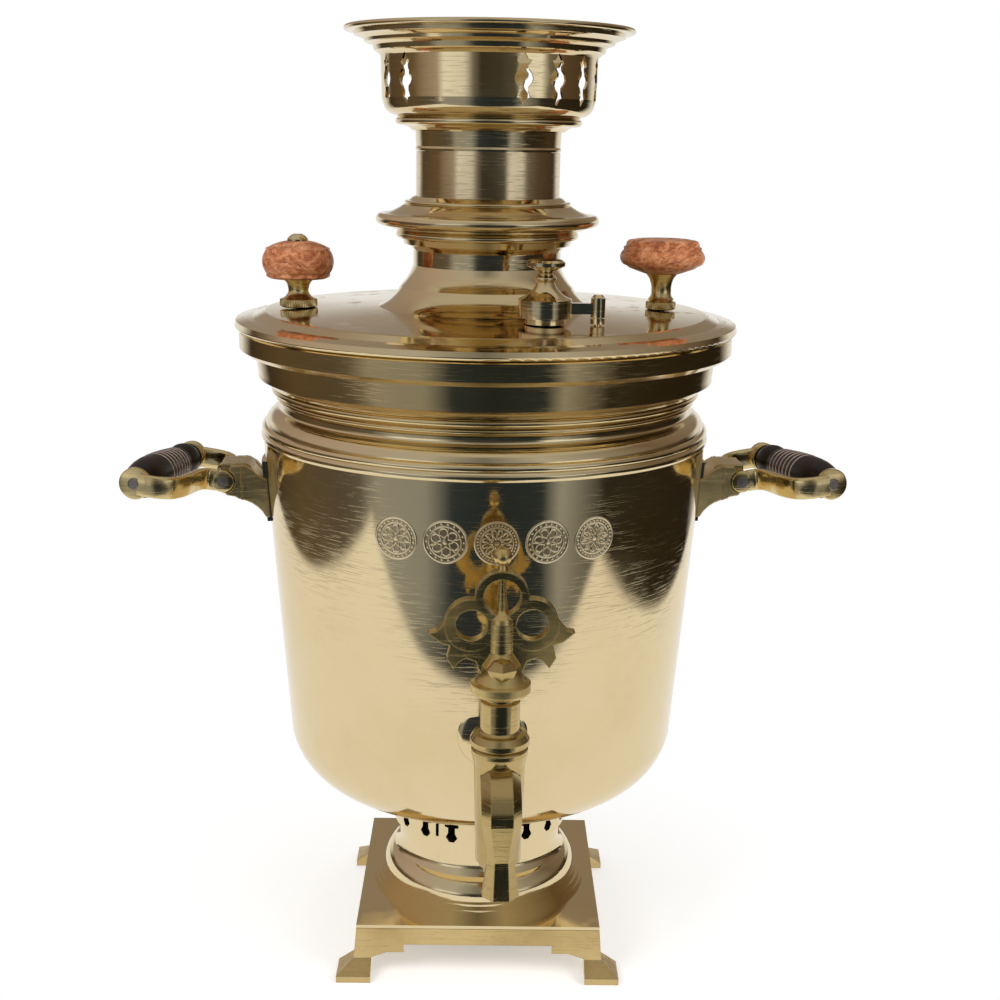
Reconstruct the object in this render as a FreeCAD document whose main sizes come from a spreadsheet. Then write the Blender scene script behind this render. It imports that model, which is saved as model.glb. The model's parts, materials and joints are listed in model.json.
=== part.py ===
import FreeCAD, Part
import math
import os
import re
import Sketcher

# Charcoal samovar in polished brass. Millimetres, +Z up, the origin on the floor at the centre of
# the four feet, which is on the axis of the round body. The tap points along -Y and the two
# handles along +X and -X.

DRIVING = {
    # sheet metal and fits
    "sheet": 1.2, "running_gap": 0.08, "seat_gap": 0.3, "slip_gap": 0.5,
    # square plinth with four feet
    "plinth_side": 124.8, "plinth_height": 27.1, "plinth_sheet": 1.6, "plinth_turn": -3.2,
    "frame_wall": 4.0, "frame_flare": 1.3, "apron_bottom": 16.6, "ankle_height": 9.0,
    "ankle_width": 9.0, "pad_thick": 3.4, "pad_reach": 8.4, "bracket_step": 38.0,
    "bracket_drop": 4.2, "bracket_toe": 46.5,
    # foot, pierced neck and collar
    "foot_radius": 57.0, "foot_rise": 2.4, "foot_ring_radius": 55.2, "foot_ring_rise": 2.2,
    "foot_bead_radius": 53.0, "foot_bead_rise": 2.2, "dome_radius": 51.6, "dome_rise": 12.0,
    "foot_neck_radius": 43.6, "neck_bottom": 62.0, "neck_height": 20.0, "neck_radius": 46.2,
    "neck_hole_count": 17, "neck_hole_first": 28.9, "neck_hole_pitch": 19.36,
    "neck_hole_tall": 12.6, "neck_hole_wide": 7.6, "neck_hole_drop": 1.2,
    "slit_angle": 328.6, "slit_wide": 1.8,
    "collar_height": 4.0, "collar_radius": 50.5, "collar_bore": 39.4,
    "neck_flare": 2.4,
    # body shell
    "body_bottom": 86.0, "bowl_dish": 2.6, "bowl_round": 34.0, "bowl_flat_radius": 64.0,
    "bowl_side_height": 118.0, "bowl_radius": 100.6, "wall_top": 262.0,
    "wall_top_radius": 111.6, "wall_mid": 190.0, "wall_mid_radius": 106.2,
    "shoulder_radius": 113.3, "shoulder_bead": 3.0, "shoulder_top": 277.0,
    "shoulder_step_radius": 110.2, "shoulder_step_height": 281.5, "throat_radius": 103.6,
    "throat_height": 288.0,
    # stepped ring round the mouth
    "ring_seat": 290.0, "ring_bead_radius": 105.0, "ring_bead_two_radius": 106.8,
    "band_low_bottom": 303.5, "band_low_radius": 114.2, "band_low_top": 315.0,
    "band_low_top_radius": 115.6, "band_high_radius": 123.3, "rim_height": 327.0,
    "mouth_radius": 101.2,
    # fire tube and grate
    "tube_bottom_radius": 43.6, "tube_shoulder_height": 120.0, "tube_neck_height": 300.0,
    "tube_radius": 35.5, "tube_top": 413.2, "tube_wall": 1.4, "grate_thick": 5.0,
    "grate_bar": 4.0, "grate_slot": 6.0, "grate_slots": 6,
    # lid with its trumpet neck
    "lid_radius": 125.4, "lid_edge": 4.0, "lid_flat_radius": 111.5, "lid_flat_height": 335.4,
    "lid_slope_radius": 119.5, "lid_slope_height": 332.2, "lid_skirt_radius": 100.4,
    "lid_skirt": 8.0, "flare_radius": 54.0, "flare_height": 337.4, "flare_mid_radius": 43.2,
    "flare_mid_height": 347.4, "trumpet_radius": 36.8, "trumpet_height": 358.0,
    "cove_radius": 44.4, "cove_height": 371.4, "lip_radius": 55.3, "lip_height": 380.4,
    "lip_thick": 5.6, "lip_top_radius": 41.8, "lip_top_height": 387.4, "lid_top": 391.4,
    # crown on the fire tube
    "spigot": 16.0, "socket_radius": 35.9, "socket_top": 422.6, "crown_bead_radius": 44.4,
    "crown_bead_height": 428.6, "crown_round_radius": 51.6, "crown_round_height": 436.0,
    "crown_wall_radius": 52.9, "crown_wall_top": 457.6, "crown_step_radius": 58.0,
    "crown_step_height": 463.4, "crown_rim_radius": 70.3, "crown_rim_height": 469.0,
    "crown_height": 471.4, "crown_hole_count": 16, "crown_hole_first": 14.4,
    "crown_hole_pitch": 19.61, "crown_hole_tall": 23.0, "crown_hole_wide": 9.4,
    # lid knobs
    "left_knob_place": 94.0, "left_base_radius": 9.4, "left_stem_tall": 14.2,
    "right_knob_place": 88.6, "right_base_radius": 7.6, "right_stem_tall": 18.2,
    "knob_base_tall": 5.0, "knob_neck_radius": 5.0, "knob_bolt_radius": 2.2,
    "round_wood_tall": 18.4, "round_lip_radius": 15.8, "round_wood_bulge": 9.2,
    "knob_nut_radius": 5.2, "knob_nut_tall": 3.4,
    "step_wood_tall": 17.0, "step_disc_radius": 18.4, "step_ring_radius": 19.6,
    # steam vent
    "vent_x": 23.2, "vent_y": -68.4, "vent_radius": 12.4, "vent_seat_radius": 9.6,
    "vent_seat_tall": 2.6, "vent_wall_tall": 8.2, "vent_waist_radius": 3.2,
    "vent_bead_radius": 4.4, "vent_knob_radius": 9.0, "vent_tall": 29.0, "vent_bore": 3.0,
    "vent_post_reach": 24.6, "vent_post_radius": 1.9, "vent_barrel_radius": 3.4,
    "vent_barrel_tall": 9.0, "vent_arm_thick": 5.0,
    # tap
    "tap_reach": 150.0, "tap_pipe_height": 148.0, "tap_pipe_radius": 8.2,
    "escutcheon_radius": 18.0, "escutcheon_thick": 3.0, "barrel_rise": 15.4,
    "barrel_drop": 39.0, "barrel_top_radius": 12.4, "barrel_bottom_radius": 10.0,
    "plug_top_radius": 8.4, "plug_bottom_radius": 6.0, "tap_port": 4.0, "plug_disc_radius": 13.0,
    "plug_disc_tall": 6.0, "sleeve_radius": 8.6, "sleeve_rise": 39.6, "washer_radius": 8.4,
    "washer_thick": 1.6, "tap_nut_radius": 6.4, "tap_nut_tall": 4.0, "tail_radius": 2.6,
    "spout_bend": 14.0, "spout_wide": 17.4, "spout_deep": 14.0, "spout_face": 9.6,
    "knee_drop": 12.0, "nozzle_top_drop": 29.0, "nozzle_drop": 45.8,
    "nozzle_top_radius": 5.6, "nozzle_mouth_radius": 8.0, "spout_bore": 3.2,
    "inlet_end": 12.3, "outlet_end": 1.4,
    # key of the tap
    "key_flange_radius": 13.0, "key_flange_tall": 6.0, "key_waist_radius": 10.6,
    "key_thick": 6.0, "key_ring_radius": 11.5, "key_top_hole": 7.9, "key_side_hole": 6.8,
    "key_side_place": 13.0, "key_side_rise": 31.3, "key_top_rise": 43.4, "key_leaf_reach": 31.4,
    "key_leaf_rise": 27.8, "key_hook_reach": 21.0, "key_hook_rise": 12.4,
    "key_ball_rise": 61.0, "key_ball_radius": 4.0, "key_post_radius": 5.4,
    "key_post_rise": 33.9,
    # handles
    "pin_place": 132.6, "pin_height": 249.4, "pin_radius": 2.0, "bracket_half": 9.0,
    "bracket_top": 9.0, "bracket_low": 7.8, "tongue_radius": 5.6, "strap_thick": 4.2,
    "plate_thick": 2.2, "plate_angle": 12.0, "leg_drop": 19.0, "leg_foot": 13.0, "leg_head": 9.0,
    "leg_step": 7.4, "leg_swell": 2.6, "eye_place": 171.0, "eye_depth": -38.6,
    "eye_radius": 7.8, "rear_place": 155.0, "rear_depth": 34.0, "handle_tilt": 8.0,
    "grip_radius": 9.8, "grip_end_radius": 6.6, "rod_radius": 2.4, "rivet_radius": 3.1,
    "rivet_thick": 1.0, "ferrule_radius": 7.4, "ferrule_long": 3.0,
    "front_flat": 7.4, "front_bend": 13.0, "front_bow": 22.0, "front_tip": 27.0,
    "front_bow_inside": 17.4, "front_bend_inside": 10.0, "rear_flat": 4.0, "rear_bend": 17.0,
    "rear_bow": 8.0, "rear_slant": 6.0, "rear_set_back": 3.2,
}

# Heights that follow the tap's pipe and, above it, the top of the plug's sleeve.
DERIVED = {
    "barrel_top": "tap_pipe_height + barrel_rise",
    "barrel_bottom": "tap_pipe_height - barrel_drop",
    "sleeve_top": "tap_pipe_height + sleeve_rise",
    "spout_knee_height": "tap_pipe_height - knee_drop",
    "nozzle_top": "tap_pipe_height - nozzle_top_drop",
    "nozzle_bottom": "tap_pipe_height - nozzle_drop",
    "key_side_height": "sleeve_top + key_side_rise",
    "key_top_height": "sleeve_top + key_top_rise",
    "key_leaf_height": "sleeve_top + key_leaf_rise",
    "key_hook_height": "sleeve_top + key_hook_rise",
    "key_ball_height": "sleeve_top + key_ball_rise",
    "key_post_top": "sleeve_top + key_post_rise",
}

doc = FreeCAD.newDocument("samovar")
sizes = doc.addObject("Spreadsheet::Sheet", "sizes")
CELLS = dict(DRIVING, **{alias: "=" + formula for alias, formula in DERIVED.items()})
for row, (alias, entry) in enumerate(CELLS.items(), start=1):
    sizes.set("A%d" % row, alias.replace("_", " "))
    sizes.set("B%d" % row, str(entry))
    sizes.setAlias("B%d" % row, alias)
doc.recompute()

WORDS = re.compile(r"[a-z][a-z_]+")


def bound(expression):
    """The same expression with each size name pointing at its cell."""
    return WORDS.sub(lambda found: "sizes." + found.group(0) if found.group(0) in CELLS
                     else found.group(0), str(expression))


def value(expression):
    """The number that an expression of the sizes has now."""
    return float(sizes.evalExpression(bound(expression)))


def new_body(label, x="0", y="0", z="0", turn="0", about=(0, 0, 1)):
    """An empty body that will be one sub-part, placed by expressions."""
    body = doc.addObject("PartDesign::Body", label)
    body.Label = label
    if value(turn):
        body.Placement = FreeCAD.Placement(
            FreeCAD.Vector(), FreeCAD.Rotation(FreeCAD.Vector(*about), value(turn)))
    for axis, expression in zip("xyz", (x, y, z)):
        body.setExpression("Placement.Base." + axis, bound(expression))
    body.setExpression("Placement.Rotation.Angle", bound(turn))
    return body


def origin_feature(body, role):
    """One of the body's own origin planes or axes."""
    return next(item for item in body.Origin.OriginFeatures if item.Role == role)


def new_sketch(body, plane="XZ_Plane", offset="0", spin=None):
    """An empty sketch on one of the body's origin planes, moved along its normal."""
    sketch = body.newObject("Sketcher::SketchObject", body.Label + "_outline")
    sketch.AttachmentSupport = (origin_feature(body, plane), "")
    sketch.MapMode = "FlatFace"
    sketch.setExpression("AttachmentOffset.Base.z", bound(offset))
    if spin is not None:
        sketch.AttachmentOffset = FreeCAD.Placement(
            FreeCAD.Vector(), FreeCAD.Rotation(FreeCAD.Vector(0, 1, 0), value(spin)))
        sketch.setExpression("AttachmentOffset.Rotation.Angle", bound(spin))
    return sketch


def outline(sketch, corners):
    """A closed outline. A corner is (across, up) for a straight run to it, or
    (across, up, radius, side) for an arc that ends there and bulges to the left (+1) or the
    right (-1) of the way it is drawn."""
    spots = [FreeCAD.Vector(value(corner[0]), value(corner[1]), 0) for corner in corners]
    first = sketch.GeometryCount
    for index, corner in enumerate(corners):
        start, end = spots[index - 1], spots[index]
        if len(corner) == 2:
            sketch.addGeometry(Part.LineSegment(start, end), False)
            continue
        chord = end - start
        radius = max(value(corner[2]), chord.Length * 0.5001)
        left = FreeCAD.Vector(-chord.y, chord.x, 0).normalize()
        bulge = radius - math.sqrt(radius ** 2 - chord.Length ** 2 / 4)
        middle = start + chord * 0.5 + left * (bulge * corner[3])
        if corner[3] > 0:
            sketch.addGeometry(Part.Arc(end, middle, start), False)
        else:
            sketch.addGeometry(Part.Arc(start, middle, end), False)
    ends = [(2, 1) if len(corner) == 4 and corner[3] > 0 else (1, 2) for corner in corners]
    for index, corner in enumerate(corners):
        following = (index + 1) % len(corners)
        sketch.addConstraint(Sketcher.Constraint(
            "Coincident", first + index, ends[index][1], first + following, ends[following][0]))
        for kind, expression in (("DistanceX", corner[0]), ("DistanceY", corner[1])):
            place = sketch.addConstraint(Sketcher.Constraint(
                kind, -1, 1, first + index, ends[index][1], value(expression)))
            sketch.setExpression("Constraints[%d]" % place, bound(expression))
        if len(corner) == 4:
            chord = (spots[index] - spots[index - 1]).Length
            if value(corner[2]) > chord * 0.5001:
                place = sketch.addConstraint(Sketcher.Constraint(
                    "Radius", first + index, value(corner[2])))
                sketch.setExpression("Constraints[%d]" % place, bound(corner[2]))


def circle(sketch, across, up, radius):
    """A circle in a sketch, bound to the sizes."""
    item = sketch.addGeometry(Part.Circle(
        FreeCAD.Vector(value(across), value(up), 0), FreeCAD.Vector(0, 0, 1), value(radius)))
    for kind, expression in (("DistanceX", across), ("DistanceY", up)):
        place = sketch.addConstraint(Sketcher.Constraint(kind, -1, 1, item, 3,
                                                         value(expression)))
        sketch.setExpression("Constraints[%d]" % place, bound(expression))
    place = sketch.addConstraint(Sketcher.Constraint("Radius", item, value(radius)))
    sketch.setExpression("Constraints[%d]" % place, bound(radius))


def spin(body, sketch, cut=False, axis="V_Axis", angle=360):
    """Turn a sketch round one of its own axes, as metal or as a groove."""
    kind = "PartDesign::Groove" if cut else "PartDesign::Revolution"
    feature = body.newObject(kind, body.Label + "_turning")
    feature.Profile = sketch
    feature.ReferenceAxis = (sketch, [axis])
    feature.Angle = angle
    sketch.Visibility = False
    return feature


def pad(body, sketch, length, symmetric=False, reverse=False, taper=None):
    """Push a sketch out as metal."""
    feature = body.newObject("PartDesign::Pad", body.Label + "_pad")
    feature.Profile = sketch
    feature.setExpression("Length", bound(length))
    if symmetric:
        feature.SideType = "Symmetric"
    feature.Reversed = reverse
    if taper is not None:
        feature.setExpression("TaperAngle", bound(taper))
    return feature


def pocket(body, sketch, length, symmetric=False, reverse=False):
    """Cut a sketch out of the metal."""
    feature = body.newObject("PartDesign::Pocket", body.Label + "_pocket")
    feature.Profile = sketch
    feature.setExpression("Length", bound(length))
    if symmetric:
        feature.SideType = "Symmetric"
    feature.Reversed = reverse
    return feature


def around(body, feature, count, pitch):
    """Repeat a feature round the body's Z axis, a pitch in degrees apart."""
    doc.recompute()
    pattern = body.newObject("PartDesign::PolarPattern", body.Label + "_pattern")
    pattern.Originals = [feature]
    pattern.Axis = (origin_feature(body, "Z_Axis"), [""])
    pattern.Mode = "Spacing"
    pattern.setExpression("Offset", bound(pitch))
    pattern.setExpression("Occurrences", bound(count))
    body.Tip = pattern
    return pattern


def turned(label, corners, **place):
    """A sub-part turned about its own Z axis from one closed outline."""
    body = new_body(label, **place)
    sketch = new_sketch(body)
    outline(sketch, corners)
    spin(body, sketch)
    return body


def mirrored(corners):
    """An outline of the right half, given from the bottom up, with its left half added."""
    left = [("-(" + corner[0] + ")",) + tuple(corner[1:2]) for corner in reversed(corners)]
    return list(corners) + left


# Plinth and foot

def plinth_frame():
    """Cast apron on four splayed feet, open underneath."""
    body = new_body("plinth_frame", turn="plinth_turn")
    low = "plinth_side / 2 + frame_flare"
    top = "plinth_height - plinth_sheet"
    walls = new_sketch(body, "XY_Plane", "ankle_height")
    outline(walls, [("-(%s)" % low, "-(%s)" % low), (low, "-(%s)" % low), (low, low),
                    ("-(%s)" % low, low)])
    pad(body, walls, top + " - ankle_height",
        taper="-atan(frame_flare / (plinth_height - plinth_sheet - ankle_height))")
    inside = new_sketch(body, "XY_Plane", top)
    inner = "plinth_side / 2 - frame_wall"
    outline(inside, [("-(%s)" % inner, "-(%s)" % inner), (inner, "-(%s)" % inner),
                     (inner, inner), ("-(%s)" % inner, inner)])
    pocket(body, inside, "plinth_height")
    ankle = "plinth_side / 2 + frame_flare - ankle_width"
    for plane in ("XZ_Plane", "YZ_Plane"):
        arch = new_sketch(body, plane)
        outline(arch, mirrored([(ankle, "ankle_height - 1"), (ankle, "ankle_height + 0.6"),
                                ("bracket_toe", "apron_bottom - bracket_drop"),
                                ("bracket_step", "apron_bottom - bracket_drop"),
                                ("bracket_step", "apron_bottom")]))
        pocket(body, arch, "plinth_side * 2", symmetric=True)
    foot = new_sketch(body, "XY_Plane", "ankle_height")
    outline(foot, [(ankle, ankle), (low, ankle), (low, low), (ankle, low)])
    sole = new_sketch(body, "XY_Plane", "pad_thick")
    reach = "plinth_side / 2 + frame_flare + pad_reach"
    outline(sole, [(ankle, ankle), (reach, ankle), (reach, reach), (ankle, reach)])
    splay = body.newObject("PartDesign::AdditiveLoft", "foot_splay")
    splay.Profile = foot
    splay.Sections = [(sole, [""])]
    splay.Ruled = True
    around(body, splay, "4", "90")
    rest = new_sketch(body, "XY_Plane")
    outline(rest, [(ankle, ankle), (reach, ankle), (reach, reach), (ankle, reach)])
    rest_pad = pad(body, rest, "pad_thick")
    around(body, rest_pad, "4", "90")


def plinth_sheet():
    """Flat square sheet soldered on the frame, open in the middle for the draught."""
    body = new_body("plinth_sheet", z="plinth_height - plinth_sheet", turn="plinth_turn")
    half = "plinth_side / 2"
    sketch = new_sketch(body, "XY_Plane")
    outline(sketch, [("-(%s)" % half, "-(%s)" % half), (half, "-(%s)" % half), (half, half),
                     ("-(%s)" % half, half)])
    circle(sketch, "0", "0", "foot_neck_radius - 2 * sheet")
    pad(body, sketch, "plinth_sheet")


def foot_dome():
    """Spun foot: a stepped flange, a swelling dome and a hollow neck."""
    one = "plinth_height + foot_rise"
    two = "plinth_height + foot_rise + foot_ring_rise"
    three = "plinth_height + foot_rise + foot_ring_rise + foot_bead_rise"
    dome = three + " + dome_rise"
    waist = "(neck_bottom + %s) / 2" % dome
    turned("foot_dome", [
        ("foot_radius", "plinth_height"),
        ("foot_radius", one),
        ("foot_ring_radius", one),
        ("foot_ring_radius", two),
        ("foot_bead_radius", two),
        ("foot_bead_radius", three),
        ("dome_radius", three),
        ("foot_neck_radius + neck_flare", dome, "dome_rise * 1.15", -1),
        ("foot_neck_radius", waist, "dome_rise", 1),
        ("foot_neck_radius", "neck_bottom"),
        ("foot_neck_radius - sheet", "neck_bottom"),
        ("foot_neck_radius - sheet", waist),
        ("foot_neck_radius + neck_flare - sheet", dome, "dome_rise", -1),
        ("dome_radius - sheet", three + " - sheet", "dome_rise * 1.15", 1),
        ("dome_radius - sheet", "plinth_height")])


# Right half of an air hole: shares of its half width, and of its half height above its middle
NECK_HOLE = [(0.35, -1.0), (0.85, -0.62), (0.5, -0.2), (0.5, 0.25), (1.0, 0.3), (1.0, 0.7),
             (0.5, 0.75), (0.4, 1.0)]


def neck_ring():
    """Pierced band that lets air in to the fire, with a plain stretch behind the tap."""
    body = turned("neck_ring", [
        ("neck_radius - sheet", "neck_bottom + sheet"),
        ("neck_radius - sheet", "neck_bottom + neck_height"),
        ("neck_radius", "neck_bottom + neck_height"),
        ("neck_radius", "neck_bottom"),
        ("foot_neck_radius - sheet", "neck_bottom"),
        ("foot_neck_radius - sheet", "neck_bottom + sheet")])
    middle = "neck_bottom + neck_height / 2 - neck_hole_drop"
    across = "neck_hole_wide / 2"
    tall = "neck_hole_tall / 2"
    hole = new_sketch(body, "XZ_Plane", spin="neck_hole_first")
    outline(hole, mirrored([("%s * %g" % (across, share), "%s + %s * %g" % (middle, tall, up))
                            for share, up in NECK_HOLE]))
    cut = pocket(body, hole, "neck_radius * 2", reverse=True)
    around(body, cut, "neck_hole_count", "neck_hole_pitch")
    slit = new_sketch(body, "XZ_Plane", spin="slit_angle")
    outline(slit, mirrored([("slit_wide / 2", middle + " - %s * 0.7" % tall),
                            ("slit_wide / 2", middle + " + %s * 0.7" % tall)]))
    pocket(body, slit, "neck_radius * 2", reverse=True)


def collar_ring():
    """Stepped ring between the pierced neck and the body."""
    base = "neck_bottom + neck_height"
    turned("collar_ring", [
        ("collar_bore", base),
        ("neck_radius + 1.2", base),
        ("neck_radius + 1.2", base + " + collar_height / 2"),
        ("collar_radius", base + " + collar_height / 2"),
        ("collar_radius", base + " + collar_height"),
        ("collar_bore", base + " + collar_height")])


def ash_floor():
    """Disc in the neck that catches the ash, with air holes round it."""
    body = new_body("ash_floor", z="neck_bottom + sheet")
    sketch = new_sketch(body, "XY_Plane")
    circle(sketch, "0", "0", "neck_radius - sheet")
    circle(sketch, "0", "0", "grate_slot * 2")
    pad(body, sketch, "sheet")


def grate():
    """Cast grate that the charcoal lies on, in the foot of the fire tube."""
    body = new_body("grate", z="neck_bottom + neck_height + collar_height")
    disc = new_sketch(body, "XY_Plane")
    circle(disc, "0", "0", "tube_bottom_radius - tube_wall - seat_gap")
    pad(body, disc, "grate_thick")
    slots = new_sketch(body, "XY_Plane", "-1")
    pitch = "(grate_bar + grate_slot)"
    for number in range(int(value("grate_slots"))):
        left = "(%d - grate_slots / 2) * %s + grate_bar / 2" % (number, pitch)
        reach = "tube_bottom_radius * 0.62"
        outline(slots, [(left, "-" + reach), (left + " + grate_slot", "-" + reach),
                        (left + " + grate_slot", reach), (left, reach)])
    pocket(body, slots, "grate_thick + 2", reverse=True)


# Body, mouth ring, fire tube

def body_shell():
    """Spun tank: a rounded bottom, a wall that widens upwards and a beaded shoulder."""
    slope = "body_bottom + sheet"
    body = turned("body_shell", [
        ("tube_bottom_radius", "body_bottom"),
        ("collar_radius + 1", "body_bottom"),
        ("bowl_flat_radius", "body_bottom + bowl_dish"),
        ("bowl_radius", "bowl_side_height", "bowl_round", -1),
        ("wall_mid_radius", "wall_mid"),
        ("wall_top_radius", "wall_top"),
        ("shoulder_radius", "wall_top + shoulder_bead"),
        ("shoulder_radius", "wall_top + shoulder_bead * 2"),
        ("shoulder_radius - sheet", "wall_top + shoulder_bead * 2 + 1"),
        ("shoulder_radius", "wall_top + shoulder_bead * 3"),
        ("shoulder_radius", "shoulder_top"),
        ("shoulder_step_radius", "shoulder_step_height"),
        ("throat_radius + 1.6", "throat_height - 1.6", "9", -1),
        ("throat_radius", "throat_height", "3", 1),
        ("throat_radius", "ring_seat"),
        ("throat_radius - sheet", "ring_seat"),
        ("throat_radius - sheet", "throat_height - sheet"),
        ("shoulder_step_radius - sheet", "shoulder_step_height - sheet"),
        ("shoulder_radius - 2 * sheet", "shoulder_top - sheet"),
        ("wall_top_radius - sheet", "wall_top"),
        ("wall_mid_radius - sheet", "wall_mid"),
        ("bowl_radius - sheet", "bowl_side_height"),
        ("bowl_flat_radius", "body_bottom + bowl_dish + sheet", "bowl_round - sheet", 1),
        ("collar_radius + 1", slope),
        ("tube_bottom_radius", slope)])
    hole = new_sketch(body)
    circle(hole, "0", "tap_pipe_height", "tap_pipe_radius + running_gap")
    pocket(body, hole, "bowl_radius * 2", reverse=True)


def mouth_ring():
    """Hollow stepped ring round the mouth, which the lid sits on."""
    turned("mouth_ring", [
        ("throat_radius - sheet", "ring_seat"),
        ("throat_radius", "ring_seat"),
        ("ring_bead_radius", "ring_seat + 1.6"),
        ("ring_bead_radius", "ring_seat + 4.0", "1.4", -1),
        ("ring_bead_two_radius", "ring_seat + 5.0"),
        ("ring_bead_two_radius", "ring_seat + 8.6", "2", -1),
        ("ring_bead_two_radius + 2", "ring_seat + 9.4"),
        ("band_low_radius", "band_low_bottom", "9", 1),
        ("band_low_radius", "band_low_bottom + 2"),
        ("band_low_top_radius", "band_low_top"),
        ("band_high_radius - 3", "band_low_top + 0.6"),
        ("band_high_radius", "band_low_top + 3"),
        ("band_high_radius", "rim_height - 1"),
        ("band_high_radius - 1", "rim_height"),
        ("mouth_radius", "rim_height"),
        ("mouth_radius", "rim_height - 10"),
        ("mouth_radius + 1.2", "rim_height - 10"),
        ("mouth_radius + 1.2", "rim_height - sheet"),
        ("band_high_radius - sheet", "rim_height - sheet"),
        ("band_high_radius - sheet", "band_low_top + 4"),
        ("band_low_top_radius - sheet", "band_low_top + 1.6"),
        ("band_low_radius - sheet", "band_low_bottom + 2.4"),
        ("ring_bead_two_radius", "ring_seat + 10.6"),
        ("ring_bead_radius - sheet", "ring_seat + 6"),
        ("throat_radius - sheet", "ring_seat + 2")])


def fire_tube():
    """Central fire tube: wide at the grate, narrow where it leaves through the lid."""
    turned("fire_tube", [
        ("tube_bottom_radius", "neck_bottom + neck_height + collar_height"),
        ("tube_bottom_radius", "tube_shoulder_height"),
        ("tube_radius", "tube_neck_height"),
        ("tube_radius", "tube_top"),
        ("tube_radius - tube_wall", "tube_top"),
        ("tube_radius - tube_wall", "tube_neck_height"),
        ("tube_bottom_radius - tube_wall", "tube_shoulder_height"),
        ("tube_bottom_radius - tube_wall", "neck_bottom + neck_height + collar_height")])


# Lid, knobs, vent, crown

def lid():
    """Lid plate with a skirt that drops into the mouth, a trumpet neck and a heavy lip."""
    seat = "rim_height + seat_gap"
    bore = "tube_radius + slip_gap"
    body = turned("lid", [
        ("lid_radius - 1.6", seat),
        ("lid_radius", seat + " + 1.6", "1.8", -1),
        ("lid_radius - 0.6", seat + " + lid_edge"),
        ("lid_slope_radius", "lid_slope_height + 0.2"),
        ("lid_slope_radius - 3", "lid_slope_height + 0.6"),
        ("lid_flat_radius", "lid_flat_height - 0.4"),
        ("lid_flat_radius - 1.4", "lid_flat_height"),
        ("flare_radius", "flare_height"),
        ("flare_mid_radius", "flare_mid_height", "22", 1),
        ("trumpet_radius", "trumpet_height", "26", 1),
        ("trumpet_radius", "cove_height - 6"),
        ("cove_radius - 3", "cove_height - 3", "7", 1),
        ("cove_radius - 2", "cove_height"),
        ("cove_radius", "cove_height"),
        ("cove_radius", "cove_height + 3.4", "1.9", -1),
        ("lip_radius - 5", "lip_height - lip_thick / 2 - 0.6"),
        ("lip_radius - 2", "lip_height - lip_thick / 2"),
        ("lip_radius - 2", "lip_height + lip_thick / 2", "lip_thick / 2 + 0.1", -1),
        ("lip_top_radius", "lip_top_height", "20", 1),
        ("lip_top_radius - 1", "lip_top_height + 0.4"),
        ("lip_top_radius - 1", "lip_top_height + 2", "0.9", -1),
        ("lip_top_radius - 2.8", "lip_top_height + 2.2"),
        (bore + " + 0.8", "lid_top"),
        (bore, "lid_top"),
        (bore, "flare_mid_height + 8"),
        ("flare_mid_radius - sheet", "flare_mid_height - 1.4", "26", -1),
        ("flare_radius - 1", "flare_height - 1.6"),
        ("lid_skirt_radius - sheet", seat + " + 6"),
        ("lid_skirt_radius - sheet", seat + " - lid_skirt"),
        ("lid_skirt_radius", seat + " - lid_skirt"),
        ("lid_skirt_radius", seat)])
    vent = new_sketch(body, "XY_Plane", seat)
    circle(vent, "vent_x", "vent_y", "vent_bore")
    pocket(body, vent, "60", reverse=True)
    post = new_sketch(body, "XY_Plane", seat)
    circle(post, "vent_x + vent_post_reach", "vent_y", "vent_post_radius - 0.4")
    pocket(body, post, "60", reverse=True)
    for place in ("-left_knob_place", "right_knob_place"):
        bolt = new_sketch(body, "XY_Plane", seat)
        circle(bolt, place, "0", "knob_bolt_radius")
        pocket(body, bolt, "60", reverse=True)


def knob_seat(radius_expression):
    """Height of the lid's upper face at a distance from its axis."""
    return ("lid_flat_height + (flare_height - lid_flat_height) * (lid_flat_radius - 1.4 - (%s)) "
            "/ (lid_flat_radius - 1.4 - flare_radius)" % radius_expression)


LEFT_FLOOR = knob_seat("left_knob_place - left_base_radius")
RIGHT_FLOOR = knob_seat("right_knob_place - right_base_radius")


def knob_stem(label, base, tall, tip, **place):
    """Brass stem of a lid knob, with a bolt up through the wood and down through the lid."""
    turned(label, [
        ("0", "-5"),
        ("knob_bolt_radius - running_gap", "-5"),
        ("knob_bolt_radius - running_gap", "0"),
        (base, "0"),
        (base, "knob_base_tall"),
        (base + " - 1.6", "knob_base_tall + 0.8"),
        ("knob_neck_radius", "knob_base_tall + 4.6", "5", 1),
        ("knob_neck_radius + 3", tall, "7", 1),
        ("knob_bolt_radius", tall),
        ("knob_bolt_radius", tip),
        ("0", tip)], **place)


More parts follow.
